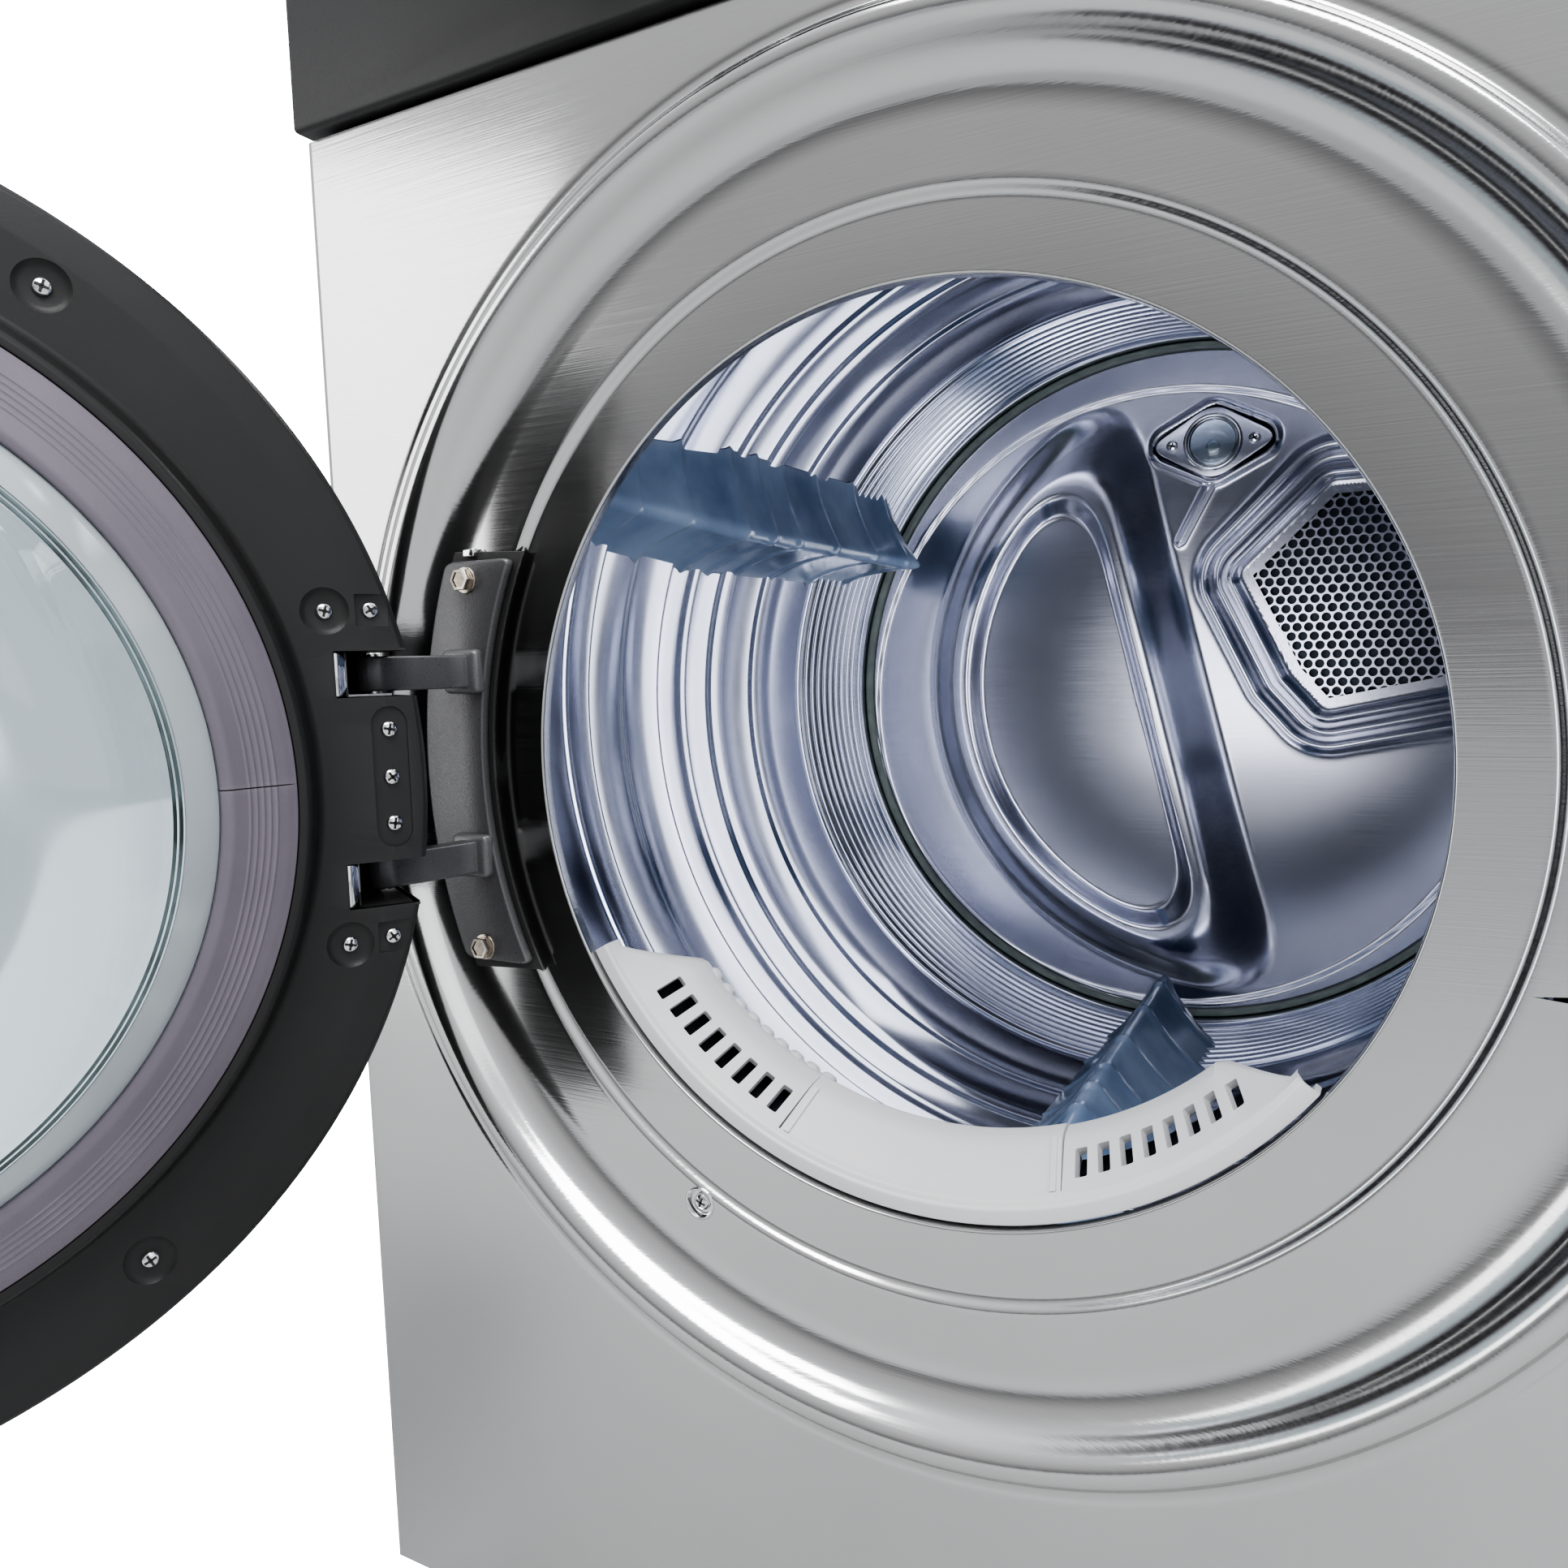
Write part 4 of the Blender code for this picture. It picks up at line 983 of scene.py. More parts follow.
@dataclass
class Drum(Assembly):
    """The drum with its rolled beads, three lifters and the rear felt."""

    steps: int = 240
    inner: float = 0.312
    neck: float = 0.3045
    bands: tuple[Corner, ...] = ((0.138, 0.165, 0.0026), (0.203, 0.249, 0.0024),
                                 (0.276, 0.288, 0.0020), (0.321, 0.342, 0.0026),
                                 (0.389, 0.4245, 0.0024))
    ridges: tuple[float, ...] = (0.4865, 0.4995, 0.5125, 0.5255, 0.5385, 0.5515, 0.5645, 0.5775,
                                 0.5895)
    lifter_angles: tuple[float, ...] = (151.5, 271.5, 31.5)
    seams: tuple[float, ...] = (0.150, 0.200, 0.262, 0.300, 0.338, 0.398, 0.470, 0.536)

    def wall(self) -> list[Point]:
        """Section of the inner wall from front to rear.

        Returns:
            (radius, y) points from the front neck to the rear neck.
        """
        corners = [(self.neck, 0.062, 0), (self.neck, 0.086, 0.002), (self.inner, 0.094, 0.003)]
        for low, high, height in self.bands:
            top = self.inner - height
            corners += [(self.inner, low - 0.0016, 0.0012), (top, low + 0.0016, 0.0016),
                        (top, high - 0.0016, 0.0016), (self.inner, high + 0.0016, 0.0012)]
        corners.append((self.inner, 0.478, 0.002))
        for y in self.ridges:
            foot, crest = self.inner - 0.0012, self.inner - 0.0062
            corners += [(foot, y - 0.0052, 0.0012), (crest, y - 0.0020, 0.0020),
                        (crest, y + 0.0020, 0.0020), (foot, y + 0.0052, 0.0012)]
        corners += [(self.inner - 0.0012, 0.5955, 0.001), (self.neck, 0.6010, 0.002),
                    (self.neck, 0.640, 0)]
        return Shape.fillet(corners, 2)

    def lifter(self, middle: float) -> BMesh:
        """One lifter: a ribbed fin, low at the front, with a knee and a pointed rear end.

        Args:
            middle: the angle at which it stands, in radians.

        Returns:
            The lifter's mesh.
        """
        stations = [(0.094, 0.003, 0.026), (0.099, 0.011, 0.032), (0.108, 0.0165, 0.036)]
        last = 0.572
        for i in range(1, 130):
            y = 0.108 + (last - 0.108) * i / 130
            knee = min(1.0, (y - 0.108) / 0.158)
            height = 0.0165 + 0.0285 * knee + 0.014 * max(0.0, (y - 0.266) / 0.294)
            seam = max(math.exp(-((y - s) / 0.0036) ** 2) for s in self.seams)
            if y < 0.549:
                stations.append((y, height + 0.0018 * seam, 0.036 + 0.012 * knee + 0.0030 * seam))
        stations += [(0.556, 0.0588, 0.046), (0.564, 0.0585, 0.036), (0.5695, 0.0570, 0.024),
                     (0.5725, 0.0530, 0.014)]
        rows = [self._section(middle, *station) for station in stations]
        return Shape.loft(rows)

    def _section(self, middle: float, y: float, height: float, half: float) -> list[Corner]:
        """One cross-section of a lifter, its crest rounded.

        Args:
            middle: the angle at which it stands, in radians.
            y: its place along the drum.
            height: how far it stands in from the drum.
            half: half its width at the foot.

        Returns:
            Its points, one ring.
        """
        seat = self.inner - 0.0006
        spread = half / seat
        rise = [(0.0, 1.0), (0.10, 0.86), (0.30, 0.66), (0.55, 0.45), (0.76, 0.28), (0.90, 0.17),
                (0.97, 0.11), (1.0, 0.045)]
        base = [(seat, middle - spread * s) for s in (0.66, 0.33, 0.0, -0.33, -0.66)]
        one = [(seat - height * h, middle + spread * s) for h, s in rise]
        two = [(seat - height * h, middle - spread * s) for h, s in reversed(rise)]
        ring = one + two + base
        return [(r * math.cos(t), y, r * math.sin(t)) for r, t in ring]

    def build(self) -> None:
        """Make the drum wall, lifters and felts."""
        at = Place.drum()
        wall = Shape.turned(self.wall(), self.steps, closed=False)
        if sum(f.normal.x * f.calc_center_median().x for f in wall.faces) > 0:
            bmesh.ops.reverse_faces(wall, faces=wall.faces[:])
        self.piece("drum_wall", wall, DRUM_METAL, at, Body.DRUM, ["drum_shell"], wall=0.0010, sharp=50)
        for i, turn in enumerate(self.lifter_angles):
            self.piece(f"drum_lifter_{i + 1}", self.lifter(math.radians(turn)), LIFTER, at, Body.DRUM,
                       [f"lifter_{i + 1}"], sharp=50)
        felt = Shape.fillet([(0.2990, 0.6200, 0), (0.2990, 0.6140, 0.0015), (0.3034, 0.6140, 0.0015),
                             (0.3034, 0.6480, 0), (0.2990, 0.6480, 0)], 4)
        self.piece("rear_felt_ring", Shape.turned(felt, self.steps), FELT, at, Body.CABINET,
                   ["rear_drum_felt"])


# ---------------------------------------------------------------- rear wall

@dataclass
class RearWall(Assembly):
    """The pressed rear wall with its D-shaped boss, air inlet grille and lamp."""

    rings: int = 156
    steps: int = 620
    disc_y: float = 0.626
    radius: float = 0.2985
    boss_height: float = 0.036
    boss_centre: Point = (0.050, 0.0237)
    boss_radius: float = 0.2736
    line_point: Point = (-0.032, 0.230)
    line_run: Point = (0.109, -0.433)
    grille: tuple[Point, ...] = ((0.0690, 0.1160), (0.1335, 0.1800), (0.1610, 0.1800),
                                 (0.2225, 0.1180), (0.2350, 0.0300), (0.1310, 0.0090),
                                 (0.1085, 0.0350))
    pitch: float = 0.0092
    hole: float = 0.0039
    lamp: Point = (0.034, 0.234)

    def boss_depth(self, x: float, z: float) -> float:
        """Distance inside the D outline, rounded where its sides meet.

        Args:
            x: place across.
            z: place up.

        Returns:
            The distance, negative outside.
        """
        round_side = self.boss_radius - math.hypot(x - self.boss_centre[0], z - self.boss_centre[1])
        run = Vector(self.line_run).normalized()
        left = Vector((run.y, -run.x))
        flat = (Vector((x, z)) - Vector(self.line_point)).dot(left)
        corner = 0.075
        blend = max(0.0, corner - abs(round_side - flat)) / corner
        return min(round_side, flat) - blend * blend * corner * 0.25

    @staticmethod
    def ease(value: float, low: float, high: float) -> float:
        """Smooth step from 0 at low to 1 at high."""
        t = min(1.0, max(0.0, (value - low) / (high - low)))
        return t * t * (3 - 2 * t)

    @staticmethod
    def rounded_distance(outline: Sequence[Point], radius: float, x: float, z: float) -> float:
        """Distance to an outline grown by a radius, negative inside it.

        Args:
            outline: the corners of the outline.
            radius: how far the outline is grown.
            x: place across.
            z: place up.

        Returns:
            The distance.
        """
        nearest, inside = 9.0, False
        for (ax, az), (bx, bz) in zip(outline, (*outline[1:], outline[0])):
            rx, rz = bx - ax, bz - az
            t = ((x - ax) * rx + (z - az) * rz) / (rx * rx + rz * rz)
            t = min(1.0, max(0.0, t))
            nearest = min(nearest, math.hypot(x - ax - rx * t, z - az - rz * t))
            if (az > z) != (bz > z) and x < ax + (z - az) * rx / rz:
                inside = not inside
        return (-nearest if inside else nearest) - radius

    def grille_distance(self, x: float, z: float) -> float:
        """Distance to the grille's rounded outline, negative inside it."""
        return self.rounded_distance(self.grille, 0.0100, x, z)

    def lamp_distance(self, x: float, z: float) -> float:
        """Distance to the lamp's rounded diamond, negative inside it."""
        return self.rounded_distance(self.diamond(0.036, 0.018), 0.0130, x, z)

    def diamond(self, half_width: float, half_height: float) -> list[Point]:
        """A diamond about the lamp."""
        x, z = self.lamp
        return [(x + half_width, z), (x, z + half_height), (x - half_width, z), (x, z - half_height)]

    def height(self, x: float, z: float) -> float:
        """How far the wall stands forward at this point.

        Args:
            x: place across.
            z: place up.

        Returns:
            The height above the flat disc.
        """
        depth = self.boss_depth(x, z)
        lift = self.boss_height * self.ease(depth, -0.014, 0.034)
        lift -= 0.0140 * self.ease(depth, 0.0375, 0.0500)
        rim = math.hypot(x + 0.0135, z - AXIS_LIFT + 0.0135)
        lift += 0.0034 * self.ease(rim, 0.2780, 0.2825)
        if depth < 0.002:
            edge = self.grille_distance(x, z)
            lift += 0.0052 * math.exp(-((edge - 0.0095) / 0.0052) ** 2)
            lift -= 0.0040 * math.exp(-((edge - 0.0215) / 0.0060) ** 2)
            lift += 0.0036 * math.exp(-((edge - 0.0335) / 0.0056) ** 2)
            lamp = self.lamp_distance(x, z)
            lift += 0.0040 * math.exp(-((lamp - 0.0030) / 0.0028) ** 2)
            lift += 0.0030 * self.rib(x, z)
        return lift

    def rib(self, x: float, z: float) -> float:
        """The small diagonal rib that runs down from the lamp.

        Args:
            x: place across.
            z: place up.

        Returns:
            The rib's share of its full height.
        """
        a, b = Vector((0.030, 0.196)), Vector((0.006, 0.150))
        point, run = Vector((x, z)), b - a
        t = min(1.0, max(0.0, (point - a).dot(run) / run.length_squared))
        return math.exp(-(((point - a - run * t).length) / 0.0035) ** 2)

    def wall(self) -> BMesh:
        """The disc, pressed point by point, with a low step near its rim and the grille's area left
        open.

        Returns:
            The wall's mesh.
        """
        line = [(self.radius * i / self.rings, self.disc_y) for i in range(self.rings + 1)]
        bm = Shape.turned(line, self.steps, closed=False)
        bmesh.ops.translate(bm, verts=bm.verts[:], vec=(0, 0, AXIS_LIFT))
        for v in bm.verts:
            v.co.y -= self.height(v.co.x, v.co.z)
        gone = [f for f in bm.faces
                if self.grille_distance(f.calc_center_median().x, f.calc_center_median().z) < -0.0010]
        bmesh.ops.delete(bm, geom=gone, context="FACES")
        if sum(f.normal.y for f in bm.faces) > 0:
            bmesh.ops.reverse_faces(bm, faces=bm.faces[:])
        return bm

    def holes(self, y: float) -> BMesh:
        """A honeycomb of round holes over the grille's area.

        Args:
            y: the plate's place.

        Returns:
            The perforated sheet.
        """
        cell = bmesh.new()
        bmesh.ops.create_circle(cell, segments=6, radius=self.pitch / math.sqrt(3))
        bmesh.ops.subdivide_edges(cell, edges=cell.edges[:], cuts=1)
        outer_edges = cell.edges[:]
        bmesh.ops.create_circle(cell, segments=12, radius=self.hole)
        inner_edges = [e for e in cell.edges if e not in outer_edges]
        bmesh.ops.bridge_loops(cell, edges=outer_edges + inner_edges)
        bmesh.ops.rotate(cell, verts=cell.verts[:], matrix=Matrix.Rotation(math.pi / 2, 3, "X"))
        mesh = bpy.data.meshes.new("cell")
        cell.to_mesh(mesh)
        cell.free()
        whole = bmesh.new()
        for row in range(-4, 30):
            for column in range(-2, 32):
                x = 0.040 + (column + 0.5 * (row % 2)) * self.pitch
                z = -0.010 + row * self.pitch * math.sqrt(3) / 2
                if self.grille_distance(x, z) > -0.0050:
                    continue
                before = len(whole.verts)
                whole.from_mesh(mesh)
                whole.verts.ensure_lookup_table()
                bmesh.ops.translate(whole, verts=whole.verts[before:], vec=(x, y, z))
        bpy.data.meshes.remove(mesh)
        bmesh.ops.remove_doubles(whole, verts=whole.verts[:], dist=0.0002)
        return whole

    def margin(self, y: float) -> BMesh:
        """The plain band between the holes and the grille's edge.

        Args:
            y: the sheet's place.

        Returns:
            The band's mesh.
        """
        bm = bmesh.new()
        rings = []
        cx = sum(p[0] for p in self.grille) / len(self.grille)
        cz = sum(p[1] for p in self.grille) / len(self.grille)
        for share in (1.16, 1.015):
            verts = [bm.verts.new((cx + share * (x - cx), y, cz + share * (z - cz)))
                     for x, z in self.grille]
            rings.append([bm.edges.new((verts[i - 1], verts[i])) for i in range(len(verts))])
        bmesh.ops.bridge_loops(bm, edges=rings[0] + rings[1])
        return bm

    def build(self) -> None:
        """Make the wall, side wall, grille and lamp."""
        at = Place.opening()
        self.piece("rear_wall_pressing", self.wall(), WALL_METAL, at, Body.CABINET,
                   ["air_inlet_grille"], sharp=70)
        rim = Shape.fillet([(self.radius - 0.002, self.disc_y - 0.0040, 0),
                            (self.radius, self.disc_y - 0.0034, 0.001), (self.radius, 0.650, 0)], 3)
        side = Shape.shifted(Shape.turned(rim, 256, closed=False), 0, 0, AXIS_LIFT)
        self.piece("rear_wall_side", side, WALL_METAL, at, Body.CABINET, wall=0.0008)
        self.piece("rear_plate", self.plate(), GALVANIZED, at, Body.CABINET, ["rear_bulkhead"],
                   wall=0.001)
        y = self.disc_y - 0.0004
        self.piece("grille_holes", self.holes(y), WALL_METAL, at, Body.CABINET, wall=0.0008)
        self.piece("grille_margin", self.margin(y + 0.0010), WALL_METAL, at, Body.CABINET,
                   wall=0.0006)
        # dark sheet behind the holes: painted shade of the duct
        self.piece("grille_back", Shape.slab(list(self.grille), y + 0.0080, y + 0.0095), GRILLE_BACK, at,
                   Body.CABINET)
        self.build_lamp(at)

    def plate(self) -> BMesh:
        """The flat plate round the wall's side.

        Returns:
            The plate's mesh.
        """
        bm = bmesh.new()
        ring = bmesh.ops.create_circle(bm, segments=128, radius=self.radius)["verts"]
        bmesh.ops.rotate(bm, verts=ring, matrix=Matrix.Rotation(math.pi / 2, 3, "X"))
        bmesh.ops.translate(bm, verts=ring, vec=(0, 0.650, AXIS_LIFT))
        low, high = 0.145 - OPENING_Z, 0.940 - OPENING_Z
        corners = [(0.335, high), (-0.335, high), (-0.335, low), (0.335, low)]
        verts = [bm.verts.new((x, 0.650, z)) for x, z in corners]
        for i in range(4):
            bm.edges.new((verts[i - 1], verts[i]))
        bmesh.ops.triangle_fill(bm, edges=bm.edges[:], use_beauty=True, normal=(0, -1, 0))
        return bm

    def build_lamp(self, at: Matrix) -> None:
        """The drum lamp: diamond plate, glass dome, bulb ring and two screws.

        Args:
            at: the matrix that sets it in the frame.
        """
        x, z = self.lamp
        y = self.disc_y - 0.0045
        points = [(*p, 0.016) for p in self.diamond(0.0560, 0.0340)]
        outline = Shape.fillet([points[3], *points, points[0]], 6)[1:-1]
        self.piece("lamp_plate", Shape.slab(outline, y - 0.0022, y, bevel=0.0008), WALL_METAL, at,
                   Body.CABINET, ["drum_lamp_lens"])
        collar = Shape.fillet([(0.0250, 0.0, 0), (0.0245, -0.0032, 0.0015), (0.0225, -0.0040, 0.001),
                               (0.0212, -0.0030, 0.001), (0.0205, 0.004, 0)], 4)
        spot = (x, y - 0.0020, z)
        self.piece("lamp_collar", Shape.shifted(Shape.turned(collar, 64, closed=False), *spot),
                   CHROME, at, Body.CABINET, wall=0.0004)
        dome = [(0.0205 * math.cos(t), -0.0085 * math.sin(t)) for t in
                [math.pi / 2 * i / 8 for i in range(9)]]
        self.piece("lamp_dome", Shape.shifted(Shape.turned(dome, 48, closed=False), *spot),
                   GLASS, at, Body.CABINET, wall=0.0008)
        bowl = Shape.fillet([(0.0200, -0.0015, 0), (0.0160, 0.0060, 0.004), (0.0, 0.0080, 0)], 6)
        self.piece("lamp_reflector", Shape.shifted(Shape.turned(bowl, 48, closed=False), *spot),
                   CHROME, at, Body.CABINET, wall=0.0004)
        bulb = Shape.fillet([(0.0, -0.0020, 0), (0.0055, -0.0020, 0.003), (0.0060, 0.005, 0)], 5)
        bulb_spot = (x, y - 0.0020, z - 0.004)
        self.piece("lamp_bulb", Shape.shifted(Shape.turned(bulb, 24, closed=False), *bulb_spot),
                   GLASS, at, Body.CABINET, wall=0.0005)
        Screws(0.0050, 0.0016).build("lamp", [(x - 0.0345, y - 0.0022, z), (x + 0.0345, y - 0.0022, z)],
                                     at, Body.CABINET)


# ---------------------------------------------------------------- hinge and door

@dataclass
class Hinge(Assembly):
    """The cast bracket with its two arms, and the hex bolts."""

    front: float = -0.0125
    back: float = -0.0066
    bolts: tuple[Point, ...] = ((-0.2516, 0.0995), (-0.2516, -0.102))

    def plate(self) -> BMesh:
        """The curved plate.

        Returns:
            The plate's mesh.
        """
        corners = Shape.arc(0.2880, 157.6, 202.4, 24) + Shape.arc(0.2465, 206.4, 153.6, 24)
        soft = [0, 24, 25, 49]
        line = [(*p, 0.007 if i in soft else 0.0) for i, p in enumerate(corners)]
        ring = Shape.fillet([line[-1], *line, line[0]], 5)[1:-1]
        return Shape.slab(ring, self.front, self.back, bevel=0.0016, segments=4)

    def arm(self, z: float) -> BMesh:
        """One arm: a curved band from its root on the plate to the eye round the pin.

        Args:
            z: its height.

        Returns:
            The arm's mesh.
        """
        spine = [(-0.2545, -0.0100), (-0.2550, -0.0200), (-0.2562, -0.0300), (-0.2580, -0.0400),
                 (-0.2606, -0.0500), (-0.2640, -0.0590)]
        left = [(x - 0.0058, y) for x, y in spine]
        right = [(x + 0.0062, y) for x, y in spine]
        eye = Shape.arc(0.0082, 0, -180, 14, (HINGE.x, HINGE.y))
        band = Shape.slab(right + eye + left[::-1], z - 0.0088, z + 0.0088, "Z", 0.0014, 3)
        root = Shape.block((-0.2680, self.front - 0.0055, z - 0.0120),
                           (-0.2425, self.front + 0.003, z + 0.0120), 0.0035, 4)
        return Shape.joined([band, root])

    def bolt(self, x: float, z: float) -> BMesh:
        """A flanged hex bolt with a dished head.

        Args:
            x: place across.
            z: place up.

        Returns:
            The bolt's mesh.
        """
        flange = Shape.turned(Shape.fillet([(0.0, self.front + 0.0006, 0), (0.0074, self.front, 0),
                                            (0.0072, self.front - 0.0012, 0.0005),
                                            (0.0, self.front - 0.0014, 0)], 3), 28, closed=False)
        head = Shape.slab(Shape.arc(0.0062, 0, 360, 6)[:-1], self.front - 0.0058,
                          self.front - 0.0010, bevel=0.0005, segments=2)
        dish = [f for f in head.faces if f.normal.y < -0.9]
        bmesh.ops.inset_region(head, faces=dish, thickness=0.0014, depth=-0.0008)
        return Shape.shifted(Shape.joined([flange, head]), x, 0, z)

    def build(self) -> None:
        """Make the bracket, the black border round it that is painted shade of its recess, and the
        bolts.
        """
        at = Place.opening()
        bracket = Shape.joined([self.plate()] + [self.arm(z) for z in ARM_HEIGHTS])
        self.piece("hinge_casting", bracket, BRACKET, at, Body.CABINET, ["hinge_bracket"])
        # black sheet just behind the bracket, a little wider than it: painted shade round the bracket's
        # recess
        recess_shade = Shape.arc(0.2915, 156.6, 203.4, 24) + Shape.arc(0.2440, 207.6, 152.4, 24)
        self.piece("hinge_recess_shade", Shape.slab(recess_shade, self.back + 0.0002, self.back + 0.0015, bevel=0.0004),
                   BLACK_RUBBER, at, Body.CABINET)
        for name, spot in zip(("upper", "lower"), self.bolts):
            self.piece(f"hinge_hex_{name}", self.bolt(*spot), YELLOW_ZINC, at, Body.CABINET,
                       [f"hinge_bolt_{name}"])
        stud = Shape.block((-0.2556, -0.0100, 0.1120), (-0.2476, -0.0060, 0.1165), 0.001)
        self.piece("hinge_stud", stud, CHROME, at, Body.CABINET)


@dataclass
class Door(Assembly):
    """The round door: charcoal inner cover, gasket, glass bowl, outer ring and glass."""

    steps: int = 256
    rim: float = 0.2816
    face: float = -0.022
    front: float = -0.092
    single: tuple[Point, ...] = ((-0.137, 0.212), (-0.146, -0.209), (0.137, 0.212),
                                 (0.146, -0.209), (0.240, 0.079), (0.240, -0.079))
    paired: tuple[tuple[Point, Point], ...] = (((-0.238, 0.080), (-0.2585, 0.0805)),
                                               ((-0.240, -0.078), (-0.260, -0.0765)))
    middle: tuple[Point, ...] = ((-0.2640, 0.0240), (-0.2640, 0.0010), (-0.2640, -0.0215))

    def cover_profile(self) -> list[Point]:
        """Section of the inner cover, closed.

        Returns:
            (radius, y) points.
        """
        return Shape.fillet([
            (self.rim, -0.0386, 0), (self.rim, -0.0262, 0.0026), (0.2790, -0.0236, 0.0010),
            (0.2645, self.face, 0.0008), (0.2320, self.face, 0.0015), (0.2296, -0.0196, 0.001),
            (0.2248, -0.0046, 0.002), (0.2225, -0.0030, 0.0008), (0.2190, -0.0030, 0.0006),
            (0.2190, -0.0260, 0), (self.rim - 0.0035, -0.0260, 0), (self.rim - 0.0025, -0.0386, 0)], 5)

    def recesses(self) -> list[BMesh]:
        """Cutters for the screws' sunk seats.

        Returns:
            The cutters.
        """
        tools = []
        y = self.face
        for x, z in self.single:
            tools.append(self._well(x, z, 0.0112, y))
        for (x, z), (x2, z2) in self.paired:
            tools.append(self._well(x, z, 0.0112, y))
            tools.append(Shape.block((x2 - 0.0085, y - 0.0018, z2 - 0.0075),
                                     (x2 + 0.0070, y + 0.003, z2 + 0.0075), 0.0006, 2))
        x = self.middle[0][0]
        slot = Shape.slab(Shape.stadium(0.0255, 0.0085), y - 0.0018, y + 0.003)
        tools.append(Shape.shifted(slot, x, 0, self.middle[1][1]))
        return tools

    @staticmethod
    def _well(x: float, z: float, radius: float, y: float) -> BMesh:
        """A round sunk seat with a soft edge.

        Args:
            x: place across.
            z: place up.
            radius: its radius.
            y: the surface that it is sunk in.

        Returns:
            The cutter.
        """
        line = [(0.0, y - 0.0019), (radius - 0.0034, y - 0.0019), (radius - 0.0016, y - 0.0013),
                (radius, y + 0.0002), (radius + 0.001, y + 0.003), (0.0, y + 0.003)]
        return Shape.shifted(Shape.turned(line, 40, closed=False), x, 0, z)

    def slot_tools(self, low: float, high: float) -> list[BMesh]:
        """Cutters for the slots that the hinge arms pass through."""
        return [Shape.block((-0.300, low, z - 0.0110), (-0.2400, high, z + 0.0110), 0.0010, 2)
                for z in ARM_HEIGHTS]

    def pockets(self) -> BMesh:
        """Side and end walls inside the two hinge slots.

        Returns:
            The walls' mesh.
        """
        parts = []
        for z in ARM_HEIGHTS:
            for side in (-1, 1):
                low, high = sorted((z + side * 0.0110, z + side * 0.0122))
                parts.append(Shape.block((-0.2740, -0.0850, low), (-0.2400, -0.0236, high)))
            parts.append(Shape.block((-0.2412, -0.0850, z - 0.0110), (-0.2398, -0.0236, z + 0.0110)))
        return Shape.joined(parts)

    def knuckles(self) -> BMesh:
        """Bright sloped faces of the hinge carrier, seen in the slots' inner ends.

        Returns:
            The faces' mesh.
        """
        parts = []
        for z in ARM_HEIGHTS:
            line = Shape.fillet([(-0.2403, -0.0238, 0), (-0.2428, -0.0240, 0.002),
                                 (-0.2473, -0.0268, 0.002), (-0.2482, -0.0380, 0.004),
                                 (-0.2518, -0.0500, 0.004), (-0.2518, -0.0840, 0),
                                 (-0.2403, -0.0840, 0)], 5)
            parts.append(Shape.slab(line, z - 0.0106, z + 0.0106, "Z", 0.0006, 2))
        return Shape.joined(parts)

    def gasket_profile(self) -> list[Point]:
        """Section of the gasket with its low ribs, closed.

        Returns:
            (radius, y) points.
        """
        line: list[Corner] = [(0.2187, -0.0080, 0), (0.2187, -0.0034, 0.0006),
                              (0.2170, -0.0026, 0.0004), (0.2145, -0.0012, 0.001)]
        for i in range(5):
            radius = 0.2095 - 0.0028 * i
            y = 0.0008 + 0.0008 * i
            line += [(radius + 0.0008, y - 0.0002, 0.0005), (radius, y + 0.0006, 0.0006),
                     (radius - 0.0008, y + 0.0003, 0.0005)]
        line += [(0.1905, 0.0078, 0.002), (0.1864, 0.0066, 0.0012), (0.1864, -0.0080, 0)]
        return Shape.fillet(line, 4)

    def bowl_profile(self) -> list[Point]:
        """Section of the glass bowl from its flange to its middle and back inside.

        Returns:
            (radius, y) points.
        """
        outside = [(0.1858, -0.0060, 0), (0.1858, 0.0040, 0.003), (0.1790, 0.0110, 0.003),
                   (0.1738, 0.0140, 0.001), (0.1716, 0.0158, 0.0012), (0.1680, 0.0172, 0.002),
                   (0.1560, 0.0292, 0.010), (0.1300, 0.0385, 0.016), (0.0600, 0.0430, 0.03),
                   (0.0, 0.0436, 0)]
        inside = [(0.0, 0.0386, 0), (0.0590, 0.0380, 0.03), (0.1270, 0.0335, 0.016),
                  (0.1510, 0.0255, 0.010), (0.1640, 0.0125, 0.004), (0.1740, 0.0070, 0.003),
                  (0.1800, -0.0060, 0)]
        return Shape.fillet(outside, 6) + Shape.fillet(inside, 6)

    def outer_profile(self) -> list[Point]:
        """Section of the door's outer ring, closed.

        Returns:
            (radius, y) points.
        """
        return Shape.fillet([
            (self.rim, -0.0389, 0), (self.rim, -0.0740, 0.008), (0.2740, -0.0885, 0.006),
            (0.2640, self.front, 0.004), (0.2050, self.front, 0.003), (0.1860, -0.0862, 0.002),
            (0.1860, -0.0800, 0), (0.2000, -0.0800, 0), (0.2020, -0.0890, 0.001),
            (0.2600, -0.0890, 0.002), (self.rim - 0.003, -0.0740, 0.004),
            (self.rim - 0.003, -0.0389, 0)], 5)

